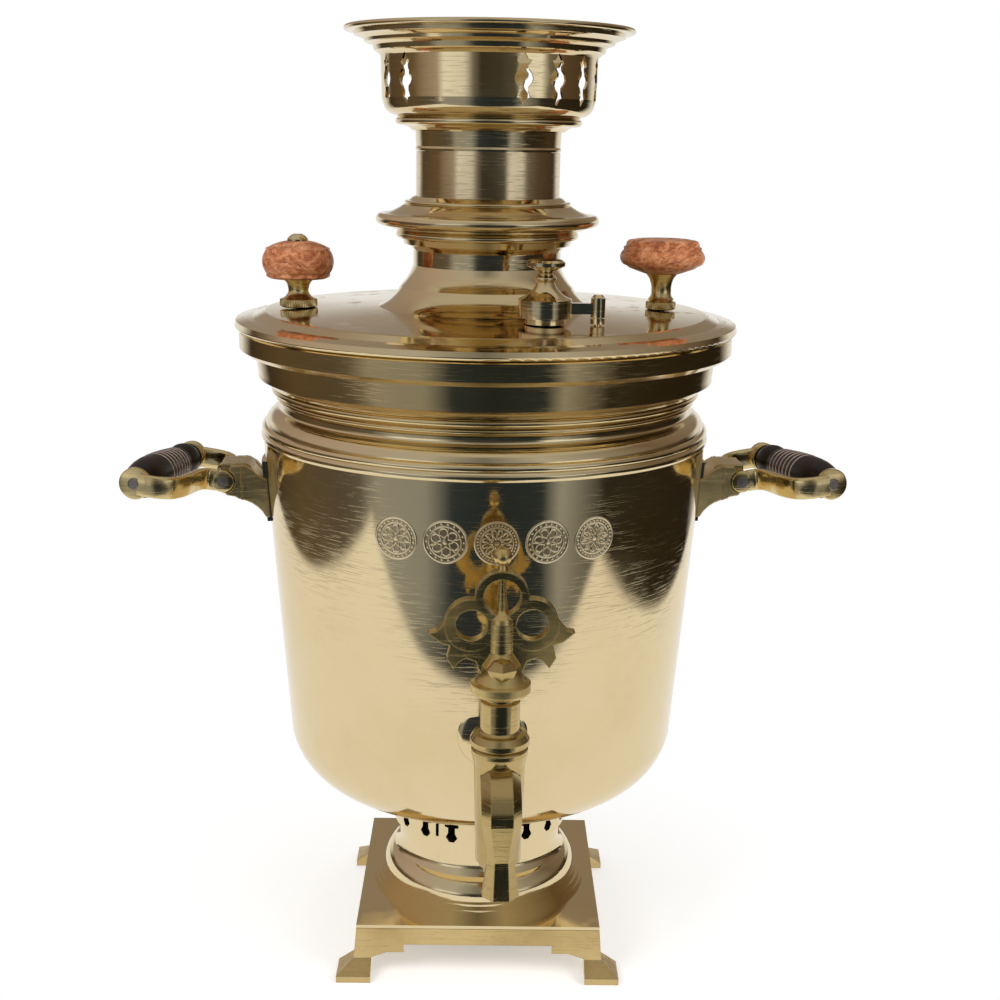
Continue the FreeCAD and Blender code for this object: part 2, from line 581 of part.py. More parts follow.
def round_knob():
    """Left knob: a swelling round of wood with a lip above and below, held by a domed nut."""
    top = "round_wood_tall"
    knob_stem("knob_stem_left", "left_base_radius", "left_stem_tall",
              "left_stem_tall + round_wood_tall + knob_nut_tall * 0.5",
              x="-left_knob_place", z=LEFT_FLOOR)
    turned("knob_grip_left", [
        ("knob_bolt_radius + running_gap", "0"),
        ("round_lip_radius - 2", "0"),
        ("round_lip_radius", "1"),
        ("round_lip_radius", "2.6"),
        ("round_lip_radius", top + " - 4.6", "round_wood_bulge", -1),
        ("round_lip_radius", top + " - 3.6"),
        ("round_lip_radius - 1.4", top + " - 3"),
        ("knob_nut_radius", top, "26", -1),
        ("knob_bolt_radius + running_gap", top)],
        x="-left_knob_place", z=LEFT_FLOOR + " + left_stem_tall")
    turned("knob_nut_left", [
        ("knob_bolt_radius + running_gap", "0"),
        ("knob_nut_radius", "0"),
        ("knob_nut_radius", "0.8"),
        ("1.6", "knob_nut_tall", "6", -1),
        ("0", "knob_nut_tall"),
        ("0", "knob_nut_tall * 0.5 + running_gap"),
        ("knob_bolt_radius + running_gap", "knob_nut_tall * 0.5 + running_gap")],
        x="-left_knob_place", z=LEFT_FLOOR + " + left_stem_tall + round_wood_tall")


def stepped_knob():
    """Right knob: a stepped disc of turned wood, screwed on from below."""
    tip = "step_wood_tall * 0.6"
    knob_stem("knob_stem_right", "right_base_radius", "right_stem_tall",
              "right_stem_tall + " + tip, x="right_knob_place", z=RIGHT_FLOOR)
    turned("knob_grip_right", [
        ("knob_bolt_radius + running_gap", "0"),
        ("knob_neck_radius + 4", "0"),
        ("step_disc_radius - 2", "2.6"),
        ("step_disc_radius", "4"),
        ("step_disc_radius + 1.2", "4.4"),
        ("step_ring_radius", "11.4", "4.4", -1),
        ("step_ring_radius", "13"),
        ("step_disc_radius", "13.6"),
        ("step_disc_radius - 1.4", "step_wood_tall - 0.6", "2.6", -1),
        ("step_disc_radius - 5", "step_wood_tall"),
        ("0", "step_wood_tall"),
        ("0", tip + " + running_gap"),
        ("knob_bolt_radius + running_gap", tip + " + running_gap")],
        x="right_knob_place", z=RIGHT_FLOOR + " + right_stem_tall")


VENT_FLOOR = knob_seat("sqrt(vent_x ^ 2 + vent_y ^ 2) - vent_seat_radius")


def vent_parts():
    """Steam vent: a seat ring in the lid, a cap that swings aside, and its post."""
    floor = VENT_FLOOR
    turned("vent_seat", [
        ("vent_bore", "0"),
        ("vent_seat_radius", "0"),
        ("vent_seat_radius", "vent_seat_tall"),
        ("vent_bore", "vent_seat_tall")],
        x="vent_x", y="vent_y", z=floor)
    base = "vent_seat_tall + seat_gap"
    cap = turned("vent_cap", [
        ("0", base),
        ("vent_radius", base),
        ("vent_radius", base + " + vent_wall_tall"),
        ("vent_radius - 1.2", base + " + vent_wall_tall + 0.6"),
        ("vent_waist_radius + 1", base + " + vent_wall_tall + 7.6", "12", 1),
        ("vent_bead_radius", base + " + vent_wall_tall + 8.4"),
        ("vent_bead_radius", base + " + vent_wall_tall + 10.4", "1.1", -1),
        ("vent_waist_radius", base + " + vent_wall_tall + 12"),
        ("vent_knob_radius - 1.4", "vent_tall - 3.4", "9", 1),
        ("vent_knob_radius", "vent_tall - 2.6"),
        ("vent_knob_radius", "vent_tall - 1"),
        ("vent_knob_radius - 1.4", "vent_tall"),
        ("0", "vent_tall")],
        x="vent_x", y="vent_y", z=floor)
    arm = new_sketch(cap, "XY_Plane", base + " + (vent_wall_tall - vent_arm_thick) / 2")
    outline(arm, [("0", "-2"), ("vent_post_reach", "-2"), ("vent_post_reach", "2"), ("0", "2")])
    pad(cap, arm, "vent_arm_thick")
    barrel = new_sketch(cap, "XY_Plane", base)
    circle(barrel, "vent_post_reach", "0", "vent_barrel_radius")
    pad(cap, barrel, "vent_barrel_tall")
    bore = new_sketch(cap, "XY_Plane")
    circle(bore, "vent_post_reach", "0", "vent_post_radius + running_gap")
    pocket(cap, bore, "vent_tall", reverse=True)
    top = base + " + vent_barrel_tall + seat_gap"
    turned("vent_post", [
        ("0", "-5"),
        ("vent_post_radius - 0.45", "-5"),
        ("vent_post_radius - 0.45", "0"),
        ("vent_barrel_radius", "0"),
        ("vent_barrel_radius", "vent_seat_tall"),
        ("vent_post_radius", "vent_seat_tall"),
        ("vent_post_radius", top),
        ("vent_barrel_radius - 0.4", top),
        ("vent_post_radius", top + " + 1.2"),
        ("0", top + " + 1.2")],
        x="vent_x + vent_post_reach", y="vent_y", z=floor)


# Right half of an air hole: shares of its half width, and of its height from the bottom
CROWN_HOLE = [(0.06, 0.0), (0.34, 0.12), (0.72, 0.14), (0.5, 0.26), (0.5, 0.34), (0.86, 0.42),
              (1.0, 0.5), (0.86, 0.6), (0.5, 0.68), (0.46, 0.76), (0.8, 0.86), (0.4, 0.88),
              (0.06, 1.0)]


def crown():
    """Pierced stand for the teapot, plugged into the top of the fire tube by a spigot."""
    inner = "tube_radius - tube_wall - seat_gap"
    foot = "tube_top + seat_gap"
    body = turned("crown", [
        (inner + " - sheet", foot + " - spigot"),
        (inner, foot + " - spigot"),
        (inner, foot),
        ("socket_radius - 0.3", foot),
        ("socket_radius", foot + " + 1"),
        ("socket_radius - 0.4", foot + " + 2"),
        ("socket_radius", "socket_top"),
        ("socket_radius + 2", "socket_top + 0.6"),
        ("crown_bead_radius - 2.6", "crown_bead_height - 3.4", "6", 1),
        ("crown_bead_radius", "crown_bead_height - 3"),
        ("crown_bead_radius", "crown_bead_height + 0.6", "1.9", -1),
        ("crown_bead_radius + 1.4", "crown_bead_height + 1.4"),
        ("crown_round_radius", "crown_round_height", "7", -1),
        ("crown_wall_radius - 0.6", "crown_round_height + 2"),
        ("crown_wall_radius", "crown_wall_top"),
        ("crown_step_radius - 2", "crown_step_height - 3.4", "6", 1),
        ("crown_step_radius - 1.4", "crown_step_height - 1.2"),
        ("crown_step_radius + 2.4", "crown_step_height + 0.4", "5", 1),
        ("crown_step_radius + 3", "crown_step_height + 1.8"),
        ("crown_rim_radius - 4.6", "crown_rim_height - 2", "14", 1),
        ("crown_rim_radius - 4.4", "crown_rim_height - 0.6"),
        ("crown_rim_radius - 0.6", "crown_rim_height"),
        ("crown_rim_radius - 0.6", "crown_height", "1.25", -1),
        ("crown_rim_radius - 2.6", "crown_height"),
        ("crown_step_radius + 2", "crown_step_height + 3.6", "16", -1),
        ("crown_wall_radius + 0.6", "crown_wall_top + 2.6", "8", -1),
        ("crown_wall_radius - sheet", "crown_wall_top"),
        ("crown_wall_radius - sheet - 0.6", "crown_round_height + 2"),
        ("crown_round_radius - 3.4", "crown_round_height - 2"),
        ("crown_bead_radius - 2", "crown_bead_height + 3.2"),
        ("crown_bead_radius - 3", "crown_bead_height - 0.8"),
        (inner + " + 1", "socket_top + 1.4"),
        (inner + " - sheet", "socket_top")])
    low = "(crown_round_height + crown_wall_top) / 2 - crown_hole_tall / 2 - 0.4"
    across = "crown_hole_wide / 2"
    tall = "crown_hole_tall"
    hole = new_sketch(body, "XZ_Plane", spin="crown_hole_first")
    outline(hole, mirrored([("%s * %g" % (across, share), "%s + %s * %g" % (low, tall, up))
                            for share, up in CROWN_HOLE]))
    cut = pocket(body, hole, "crown_rim_radius * 2", reverse=True)
    around(body, cut, "crown_hole_count", "crown_hole_pitch")


# Tap

def wall_at(height):
    """Outer radius of the body's wall at a height, on the stretch below wall_mid."""
    return ("(bowl_radius + (wall_mid_radius - bowl_radius) * (%s - bowl_side_height) / "
            "(wall_mid - bowl_side_height))" % height)


def upper_wall_at(height):
    """Outer radius of the body's wall at a height, on the stretch above wall_mid."""
    return ("(wall_mid_radius + (wall_top_radius - wall_mid_radius) * (%s - wall_mid) / "
            "(wall_top - wall_mid))" % height)


def tap_rose():
    """Round rose between the tap's pipe and the body, hollowed to the body's curve."""
    wall = wall_at("(tap_pipe_height + escutcheon_radius)")
    body = new_body("tap_rose")
    disc = new_sketch(body, "XZ_Plane", wall + " - 4")
    circle(disc, "0", "tap_pipe_height", "escutcheon_radius")
    circle(disc, "0", "tap_pipe_height", "tap_pipe_radius + running_gap")
    pad(body, disc, "escutcheon_thick + 4")
    hollow = new_sketch(body, "XY_Plane")
    circle(hollow, "0", "0", wall + " + running_gap")
    pocket(body, hollow, "tap_pipe_height * 2", reverse=True)


def octagon(half_wide, face, deep, middle="0"):
    """Faceted section of the spout: flat in front and behind, with slanting cheeks."""
    return mirrored([(face, "%s - %s" % (middle, deep)),
                     (half_wide, "%s - %s * 0.35" % (middle, deep)),
                     (half_wide, "%s + %s * 0.35" % (middle, deep)),
                     (face, "%s + %s" % (middle, deep))])


def tap_body():
    """Pipe, tapered barrel and faceted spout, cast in one."""
    wall = wall_at("tap_pipe_height")
    body = new_body("tap_body", y="-tap_reach")
    barrel = new_sketch(body)
    outline(barrel, [
        ("0", "barrel_bottom"),
        ("barrel_bottom_radius - 1", "barrel_bottom"),
        ("barrel_bottom_radius", "barrel_bottom + 1"),
        ("barrel_top_radius - 1.2", "barrel_top - 8"),
        ("barrel_top_radius", "barrel_top - 3"),
        ("barrel_top_radius", "barrel_top - 1"),
        ("barrel_top_radius - 1", "barrel_top"),
        ("0", "barrel_top")])
    spin(body, barrel)
    pipe = new_sketch(body, "XZ_Plane", "-(tap_reach - %s + 6)" % wall)
    circle(pipe, "0", "tap_pipe_height", "tap_pipe_radius")
    pad(body, pipe, "tap_reach - %s + 6" % wall)
    half, face, deep = "spout_wide / 2", "spout_face / 2", "spout_deep / 2"
    start = "barrel_bottom_radius * 0.4"
    elbow = new_sketch(body, "XZ_Plane", start)
    outline(elbow, octagon(half, face, deep, "spout_knee_height + spout_bend"))
    axle = elbow.addGeometry(Part.LineSegment(
        FreeCAD.Vector(-value("spout_wide"), value("spout_knee_height"), 0),
        FreeCAD.Vector(value("spout_wide"), value("spout_knee_height"), 0)), True)
    elbow.addConstraint(Sketcher.Constraint("Horizontal", axle))
    for kind, end, expression in (("DistanceX", 1, "-spout_wide"), ("DistanceX", 2, "spout_wide"),
                                  ("DistanceY", 1, "spout_knee_height")):
        place = elbow.addConstraint(Sketcher.Constraint(kind, -1, 1, axle, end,
                                                        value(expression)))
        elbow.setExpression("Constraints[%d]" % place, bound(expression))
    spin(body, elbow, axis="Axis0", angle=90)
    middle = "-(%s + spout_bend)" % start
    levels = [("spout_knee_height", half, face, deep),
              ("nozzle_top", "nozzle_top_radius", "spout_face * 0.3", "nozzle_top_radius"),
              ("nozzle_bottom", "nozzle_mouth_radius", "spout_face * 0.36",
               "nozzle_mouth_radius")]
    rings = []
    for height, wide, flat, reach in levels:
        ring = new_sketch(body, "XY_Plane", height)
        outline(ring, octagon(wide, flat, reach, middle))
        rings.append(ring)
    for upper, lower in zip(rings, rings[1:]):
        loft = body.newObject("PartDesign::AdditiveLoft", "spout_run")
        loft.Profile = upper
        loft.Sections = [(lower, [""])]
        loft.Ruled = True
    taper = new_sketch(body)
    outline(taper, [("0", "barrel_bottom"), ("plug_bottom_radius", "barrel_bottom"),
                    ("plug_top_radius", "barrel_top"), ("0", "barrel_top")])
    spin(body, taper, cut=True)
    inlet = new_sketch(body, "XZ_Plane", "-(tap_reach - %s + 6)" % wall)
    circle(inlet, "0", "tap_pipe_height", "tap_port")
    pocket(body, inlet, "tap_reach - %s + 6 + %s + inlet_end" % (wall, start), reverse=True)
    outlet = new_sketch(body, "XY_Plane", "nozzle_bottom")
    circle(outlet, "0", middle, "spout_bore")
    pocket(body, outlet, "tap_pipe_height - nozzle_bottom - outlet_end", reverse=True)


def tap_plug():
    """Tapered plug with a cross port, a shoulder disc, a sleeve and a threaded tail."""
    body = new_body("tap_plug", y="-tap_reach")
    solid = new_sketch(body)
    shoulder = "barrel_top + seat_gap"
    outline(solid, [
        ("0", "barrel_bottom - washer_thick - tap_nut_tall - 1.5"),
        ("tail_radius", "barrel_bottom - washer_thick - tap_nut_tall - 1.5"),
        ("tail_radius", "barrel_bottom"),
        ("plug_bottom_radius - running_gap", "barrel_bottom"),
        ("plug_top_radius - running_gap", "barrel_top"),
        ("plug_top_radius - running_gap", shoulder),
        ("plug_disc_radius - 1", shoulder),
        ("plug_disc_radius", shoulder + " + 1"),
        ("plug_disc_radius", shoulder + " + plug_disc_tall - 2.6"),
        ("plug_disc_radius - 1.4", shoulder + " + plug_disc_tall"),
        ("sleeve_radius + 0.8", shoulder + " + plug_disc_tall + 0.4"),
        ("sleeve_radius", shoulder + " + plug_disc_tall + 1.4"),
        ("sleeve_radius", "sleeve_top - 3.4"),
        ("sleeve_radius - 1.4", "sleeve_top - 3"),
        ("sleeve_radius - 1.4", "sleeve_top"),
        ("0", "sleeve_top")])
    spin(body, solid)
    port = new_sketch(body, "YZ_Plane")
    circle(port, "0", "tap_pipe_height", "tap_port")
    pocket(body, port, "plug_top_radius * 4", symmetric=True)


def tap_fixings():
    """Washer and six-sided nut that hold the plug down in its barrel."""
    body = new_body("tap_washer", y="-tap_reach", z="barrel_bottom - running_gap - washer_thick")
    sketch = new_sketch(body, "XY_Plane")
    circle(sketch, "0", "0", "washer_radius")
    circle(sketch, "0", "0", "tail_radius + running_gap")
    pad(body, sketch, "washer_thick")
    nut = new_body("tap_nut", y="-tap_reach",
                   z="barrel_bottom - running_gap - washer_thick - tap_nut_tall")
    hexagon = new_sketch(nut, "XY_Plane")
    outline(hexagon, [("tap_nut_radius * cos(%d)" % turn, "tap_nut_radius * sin(%d)" % turn)
                      for turn in range(0, 360, 60)])
    circle(hexagon, "0", "0", "tail_radius + running_gap")
    pad(nut, hexagon, "tap_nut_tall")


def tap_key():
    """Flat openwork branch on a round flange, with a ball on top, that turns the plug."""
    body = new_body("tap_key", y="-tap_reach")
    base = new_sketch(body)
    outline(base, [
        ("0", "sleeve_top"),
        ("key_flange_radius - 1.2", "sleeve_top"),
        ("key_flange_radius", "sleeve_top + 1.4"),
        ("key_flange_radius", "sleeve_top + key_flange_tall - 1"),
        ("key_waist_radius + 0.6", "sleeve_top + key_flange_tall"),
        ("key_waist_radius - 2", "key_hook_height + 1", "14", 1),
        ("key_post_radius - 1", "key_hook_height + 8"),
        ("0", "key_hook_height + 8")])
    spin(body, base)
    rings = [("0", "key_top_height", "key_top_hole"),
             ("-key_side_place", "key_side_height", "key_side_hole"),
             ("key_side_place", "key_side_height", "key_side_hole")]
    for across, up, bore in rings:
        disc = new_sketch(body)
        circle(disc, across, up, "key_ring_radius")
        pad(body, disc, "key_thick", symmetric=True)
    leaf = new_sketch(body)
    outline(leaf, mirrored([
        ("key_waist_radius - 3", "sleeve_top + key_flange_tall - 1"),
        ("key_waist_radius - 1.4", "key_hook_height - 2"),
        ("key_waist_radius + 0.4", "key_hook_height + 2.6"),
        ("key_waist_radius + 4.6", "key_hook_height + 4.2"),
        ("key_hook_reach - 3", "key_hook_height + 2.6"),
        ("key_hook_reach - 0.4", "key_hook_height - 0.6"),
        ("key_hook_reach + 2.4", "key_hook_height + 4"),
        ("key_hook_reach + 1", "key_leaf_height - 5.6"),
        ("key_leaf_reach - 5.4", "key_leaf_height - 4.4"),
        ("key_leaf_reach", "key_leaf_height"),
        ("key_leaf_reach - 3.6", "key_leaf_height + 0.8"),
        ("key_leaf_reach - 6.8", "key_leaf_height + 4.6"),
        ("key_side_place + 4", "key_leaf_height + 8")]))
    pad(body, leaf, "key_thick - 0.2", symmetric=True)
    for across, up, bore in rings:
        hole = new_sketch(body)
        circle(hole, across, up, bore)
        pocket(body, hole, "key_thick * 2", symmetric=True)
    post = new_sketch(body)
    outline(post, [
        ("0", "key_hook_height + 2"),
        ("key_post_radius", "key_hook_height + 2"),
        ("key_post_radius", "key_post_top - 2"),
        ("key_post_radius - 0.4", "key_post_top"),
        ("2.4", "key_post_top + 3.4"),
        ("1.4", "key_top_height + key_top_hole + 1.6"),
        ("0", "key_top_height + key_top_hole + 1.6")])
    spin(body, post)
    ball = new_sketch(body)
    outline(ball, [
        ("0", "key_top_height + key_ring_radius - 2"),
        ("2.8", "key_top_height + key_ring_radius - 2"),
        ("1.8", "key_ball_height - key_ball_radius * 0.9"),
        ("key_ball_radius", "key_ball_height", "key_ball_radius", -1),
        ("0", "key_ball_height + key_ball_radius", "key_ball_radius", -1)])
    spin(body, ball)


# Handles, right (+1) and left (-1)

def sided(side, expression):
    """An expression across the samovar, mirrored for the left handle."""
    return "%d * (%s)" % (side, expression)


def handle_plate(name, side):
    """Thin plate on the body that carries the bracket, curved to the wall."""
    body = new_body("bracket_plate_" + name)
    low, high = "pin_height - leg_drop - 2", "pin_height + bracket_top + 1"
    sketch = new_sketch(body)
    outline(sketch, [
        (sided(side, upper_wall_at("(%s)" % low)), low),
        (sided(side, upper_wall_at("(%s)" % low) + " + plate_thick"), low),
        (sided(side, upper_wall_at("(%s)" % high) + " + plate_thick"), high),
        (sided(side, upper_wall_at("(%s)" % high)), high)])
    turn = spin(body, sketch)
    turn.setExpression("Angle", bound("plate_angle"))
    turn.Midplane = True


def handle_bracket(name, side):
    """Bracket: a knuckle block with a curved leg that runs down the plate."""
    body = new_body("bracket_" + name)
    sketch = new_sketch(body)
    corners = []
    for height in ("pin_height - leg_drop", "pin_height + bracket_top"):
        reach = upper_wall_at("(%s)" % height) + " + plate_thick"
        corners.append((sided(side, reach), height))
    outline(sketch, [
        corners[0],
        (sided(side, "pin_place - leg_foot"), "pin_height - bracket_low - leg_swell", "9", side),
        (sided(side, "pin_place - leg_head"), "pin_height - bracket_low - leg_swell + 0.4"),
        (sided(side, "pin_place - leg_step"), "pin_height - bracket_low"),
        (sided(side, "pin_place"), "pin_height - bracket_low"),
        (sided(side, "pin_place"), "pin_height + tongue_radius * 1.2", "tongue_radius * 1.25",
         -side),
        (sided(side, "pin_place - 3"), "pin_height + bracket_top"),
        corners[1]])
    pad(body, sketch, "bracket_half * 2", symmetric=True)
    hole = new_sketch(body)
    circle(hole, sided(side, "pin_place"), "pin_height", "pin_radius")
    pocket(body, hole, "bracket_half * 4", symmetric=True)


def handle_pin(name, side):
    """Hinge pin of a handle, headed in front and flush behind."""
    out = "bracket_half + seat_gap + strap_thick"
    body = new_body("hinge_pin_" + name, x=sided(side, "pin_place"), z="pin_height")
    sketch = new_sketch(body, "XY_Plane")
    outline(sketch, [
        ("0", "-(%s + 1)" % out),
        ("pin_radius + 0.8", "-(%s + 0.8)" % out),
        ("pin_radius + 1", "-(%s + running_gap)" % out),
        ("pin_radius", "-(%s + running_gap)" % out),
        ("pin_radius", out + " - seat_gap"),
        ("0", out + " - seat_gap")])
    spin(body, sketch)


def grip_frame(body, side, plane="XY_Plane"):
    """A sketch whose V axis lies along the grip, with its origin on the front eye."""
    sketch = body.newObject("Sketcher::SketchObject", body.Label + "_outline")
    sketch.AttachmentSupport = (origin_feature(body, plane), "")
    sketch.MapMode = "FlatFace"
    yaw = sided(side, "atan((eye_place - rear_place) / (rear_depth - eye_depth))")
    sketch.AttachmentOffset = FreeCAD.Placement(
        FreeCAD.Vector(), FreeCAD.Rotation(FreeCAD.Vector(0, 0, 1), value(yaw)))
    sketch.setExpression("AttachmentOffset.Base.x", bound(sided(side, "eye_place - pin_place")))
    sketch.setExpression("AttachmentOffset.Base.y", bound("eye_depth"))
    sketch.setExpression("AttachmentOffset.Rotation.Angle", bound(yaw))
    return sketch


def handle_place(side):
    """Placement words of everything that swings with a handle."""
    return {"x": sided(side, "pin_place"), "z": "pin_height",
            "turn": sided(side, "-handle_tilt"), "about": (0, 1, 0)}


GRIP_LONG = ("sqrt((eye_place - rear_place) ^ 2 + (rear_depth - eye_depth) ^ 2)")


def handle_arm(name, side, spot):
    """One flat arm of the bail, from its hinge tongue round to the eye that holds the rod."""
    inner = "bracket_half + seat_gap"
    outer = inner + " + strap_thick"
    if spot == "front":
        corners = [
            ("0", "-(%s)" % outer), ("front_flat", "-(%s)" % outer),
            ("front_bend", "eye_depth + 13"), ("front_bow", "eye_depth - 7"),
            ("eye_place - pin_place", "eye_depth - strap_thick + 0.4"),
            ("eye_place - pin_place", "eye_depth - 1"), ("front_tip", "eye_depth - 3.4"),
            ("front_bow_inside", "eye_depth + 14"), ("front_bend_inside", "-(%s)" % inner),
            ("0", "-(%s)" % inner)]
        tongue, low, high = inner, "-strap_thick", "0"
    else:
        corners = [
            ("0", inner), ("rear_flat", inner), ("rear_flat", outer),
            ("1", "rear_depth - rear_bend"), ("1", "rear_depth - rear_bow"),
            ("rear_slant", "rear_depth - 1.4"),
            ("rear_place - pin_place", "rear_depth"),
            ("rear_place - pin_place", "rear_depth + strap_thick - 0.4"),
            ("rear_place - pin_place - rear_slant", "rear_depth + strap_thick - 1.8"),
            ("3.4", "rear_depth + 1.4"), ("-rear_set_back", "rear_depth - 6.6"),
            ("-rear_set_back", "rear_depth - rear_bend"), ("0", outer)]
        tongue, low, high = "-(%s)" % outer, GRIP_LONG, GRIP_LONG + " + strap_thick"
    body = new_body("arm_%s_%s" % (spot, name), **handle_place(side))
    disc = new_sketch(body, "XZ_Plane", tongue)
    circle(disc, "0", "0", "tongue_radius")
    pad(body, disc, "strap_thick")
    plan = new_sketch(body, "XY_Plane")
    outline(plan, [(sided(side, across), along) for across, along in corners])
    pad(body, plan, "tongue_radius * 1.9", symmetric=True)
    eye = grip_frame(body, side)
    outline(eye, [("0", low), ("eye_radius", low), ("eye_radius", high), ("0", high)])
    spin(body, eye)
    bore = new_sketch(body)
    circle(bore, "0", "0", "pin_radius + running_gap")
    pocket(body, bore, "bracket_half * 6", symmetric=True)
    hole = grip_frame(body, side)
    outline(hole, [("0", "-10"), ("rod_radius", "-10"), ("rod_radius", GRIP_LONG + " + 10"),
                   ("0", GRIP_LONG + " + 10")])
    spin(body, hole, cut=True)


def handle_grip(name, side):
    """Turned wooden grip: a swelling barrel with a ball at its rear end."""
    body = new_body("grip_" + name, **handle_place(side))
    sketch = grip_frame(body, side)
    front = "seat_gap"
    rear = GRIP_LONG + " - ferrule_long - seat_gap"
    bore = "rod_radius + running_gap"
    outline(sketch, [
        (bore, front),
        ("grip_end_radius", front),
        ("grip_radius", GRIP_LONG + " * 0.45", "90", -1),
        ("grip_end_radius + 0.8", GRIP_LONG + " * 0.8", "50", -1),
        ("grip_end_radius + 1.6", rear + " - 2", "9", -1),
        ("grip_end_radius", rear),
        (bore, rear)])
    spin(body, sketch)
    collar = new_body("ferrule_" + name, **handle_place(side))
    ring = grip_frame(collar, side)
    outline(ring, [(bore, rear), ("ferrule_radius", rear),
                   ("ferrule_radius - 0.6", GRIP_LONG + " - running_gap"),
                   (bore, GRIP_LONG + " - running_gap")])
    spin(collar, ring)
    rod = new_body("grip_rod_" + name, **handle_place(side))
    core = grip_frame(rod, side)
    outline(core, [
        ("0", "-(strap_thick + rivet_thick)"),
        ("rivet_radius - 0.8", "-(strap_thick + rivet_thick)"),
        ("rivet_radius", "-(strap_thick + running_gap)"),
        ("rod_radius - 0.02", "-(strap_thick + running_gap)"),
        ("rod_radius - 0.02", GRIP_LONG + " + strap_thick + running_gap"),
        ("rivet_radius", GRIP_LONG + " + strap_thick + running_gap"),
        ("rivet_radius - 0.8", GRIP_LONG + " + strap_thick + rivet_thick"),
        ("0", GRIP_LONG + " + strap_thick + rivet_thick")])
    spin(rod, core)


def handle(name, side):
    """All the pieces of one handle."""
    handle_plate(name, side)
    handle_bracket(name, side)
    handle_pin(name, side)
    handle_arm(name, side, "front")
    handle_arm(name, side, "rear")
    handle_grip(name, side)


def build():
    """Make every sub-part."""
    for maker in (plinth_frame, plinth_sheet, foot_dome, neck_ring, collar_ring, ash_floor,
                  grate, body_shell, mouth_ring, fire_tube, lid, round_knob, stepped_knob,
                  vent_parts, crown, tap_rose, tap_body, tap_plug, tap_fixings, tap_key):
        maker()
    for name, side in (("right", 1), ("left", -1)):
        handle(name, side)
    doc.recompute()


def write():
    """Check every object, then write one file for each sub-part."""
    failed = ["%s (%s)" % (item.Label, item.getStatusString()) for item in doc.Objects
              if "Invalid" in item.State or "Error" in item.State]
    if failed:
        raise RuntimeError("failed: " + "; ".join(failed))
    os.makedirs("parts", exist_ok=True)
    for body in doc.findObjects("PartDesign::Body"):
        if body.Shape.isNull() or not body.Shape.isValid() or body.Shape.Volume <= 0:
            raise RuntimeError("%s has no valid shape" % body.Label)
        body.Shape.exportStep("parts/%s.step" % body.Label)
        box = body.Shape.optimalBoundingBox()
        print("%-22s solids %d volume %9.1f  x %7.1f %7.1f  y %7.1f %7.1f  z %6.1f %6.1f" % (
            body.Label, len(body.Shape.Solids), body.Shape.Volume, box.XMin, box.XMax,
            box.YMin, box.YMax, box.ZMin, box.ZMax))


build()
write()
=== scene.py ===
import json
import math

import bmesh
import bpy
from mathutils import Matrix, Vector
from mathutils.bvhtree import BVHTree


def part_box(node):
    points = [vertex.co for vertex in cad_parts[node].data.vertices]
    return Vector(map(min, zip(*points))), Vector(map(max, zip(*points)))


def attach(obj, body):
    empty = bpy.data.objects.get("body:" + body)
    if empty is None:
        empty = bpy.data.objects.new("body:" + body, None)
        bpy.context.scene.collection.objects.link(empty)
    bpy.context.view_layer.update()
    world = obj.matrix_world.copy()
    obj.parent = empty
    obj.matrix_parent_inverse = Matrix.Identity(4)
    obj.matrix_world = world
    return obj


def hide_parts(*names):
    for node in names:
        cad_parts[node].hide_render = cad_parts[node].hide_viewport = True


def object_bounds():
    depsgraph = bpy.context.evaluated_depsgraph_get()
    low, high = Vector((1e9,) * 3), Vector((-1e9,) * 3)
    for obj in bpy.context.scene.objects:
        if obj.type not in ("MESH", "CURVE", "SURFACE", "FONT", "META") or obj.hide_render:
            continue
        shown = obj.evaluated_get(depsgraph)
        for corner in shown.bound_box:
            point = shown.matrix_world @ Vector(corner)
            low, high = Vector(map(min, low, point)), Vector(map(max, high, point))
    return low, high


# Charcoal samovar in polished brass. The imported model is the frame: metres, +Z up, the origin on
# the floor under the axis of the body, the tap towards -Y and the handles towards +X and -X.

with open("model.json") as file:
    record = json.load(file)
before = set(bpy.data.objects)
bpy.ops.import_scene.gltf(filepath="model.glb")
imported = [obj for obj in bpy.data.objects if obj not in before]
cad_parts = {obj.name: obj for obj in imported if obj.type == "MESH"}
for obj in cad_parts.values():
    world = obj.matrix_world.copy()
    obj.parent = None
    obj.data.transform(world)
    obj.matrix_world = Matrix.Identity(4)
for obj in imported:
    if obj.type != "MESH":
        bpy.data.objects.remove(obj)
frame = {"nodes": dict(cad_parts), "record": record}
cad_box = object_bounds()
nodes = frame["nodes"]

MM = 0.001


# Camera, floor and surroundings

CAMERA_DISTANCE = 761 * MM
CAMERA_HEIGHT = 420.5 * MM
CAMERA_AROUND = math.radians(3.2)
CAMERA_PITCH = math.radians(13.57)
CAMERA_YAW = math.radians(0.638)
CAMERA_ROLL = math.radians(0.918)
FOCAL_PIXELS = 1505.3
PHOTO_PIXELS = 1000
SENSOR = 36.0


def set_view():
    """Colours render about as they are written."""
    bpy.context.scene.view_settings.view_transform = "Standard"


def add_camera():
    """Camera at the photograph's place and angle."""
    data = bpy.data.cameras.new("camera")
    data.sensor_width = SENSOR
    data.lens = FOCAL_PIXELS / PHOTO_PIXELS * SENSOR
    data.clip_start = 0.01
    camera = bpy.data.objects.new("camera", data)
    bpy.context.scene.collection.objects.link(camera)
    place = Vector((-math.sin(CAMERA_AROUND), -math.cos(CAMERA_AROUND), 0)) * CAMERA_DISTANCE
    place.z = CAMERA_HEIGHT
    turn = (Matrix.Rotation(-CAMERA_AROUND - CAMERA_YAW, 4, "Z")
            @ Matrix.Rotation(math.pi / 2 - CAMERA_PITCH, 4, "X")
            @ Matrix.Rotation(CAMERA_ROLL, 4, "Z"))
    camera.matrix_world = Matrix.Translation(place) @ turn
    bpy.context.scene.camera = camera


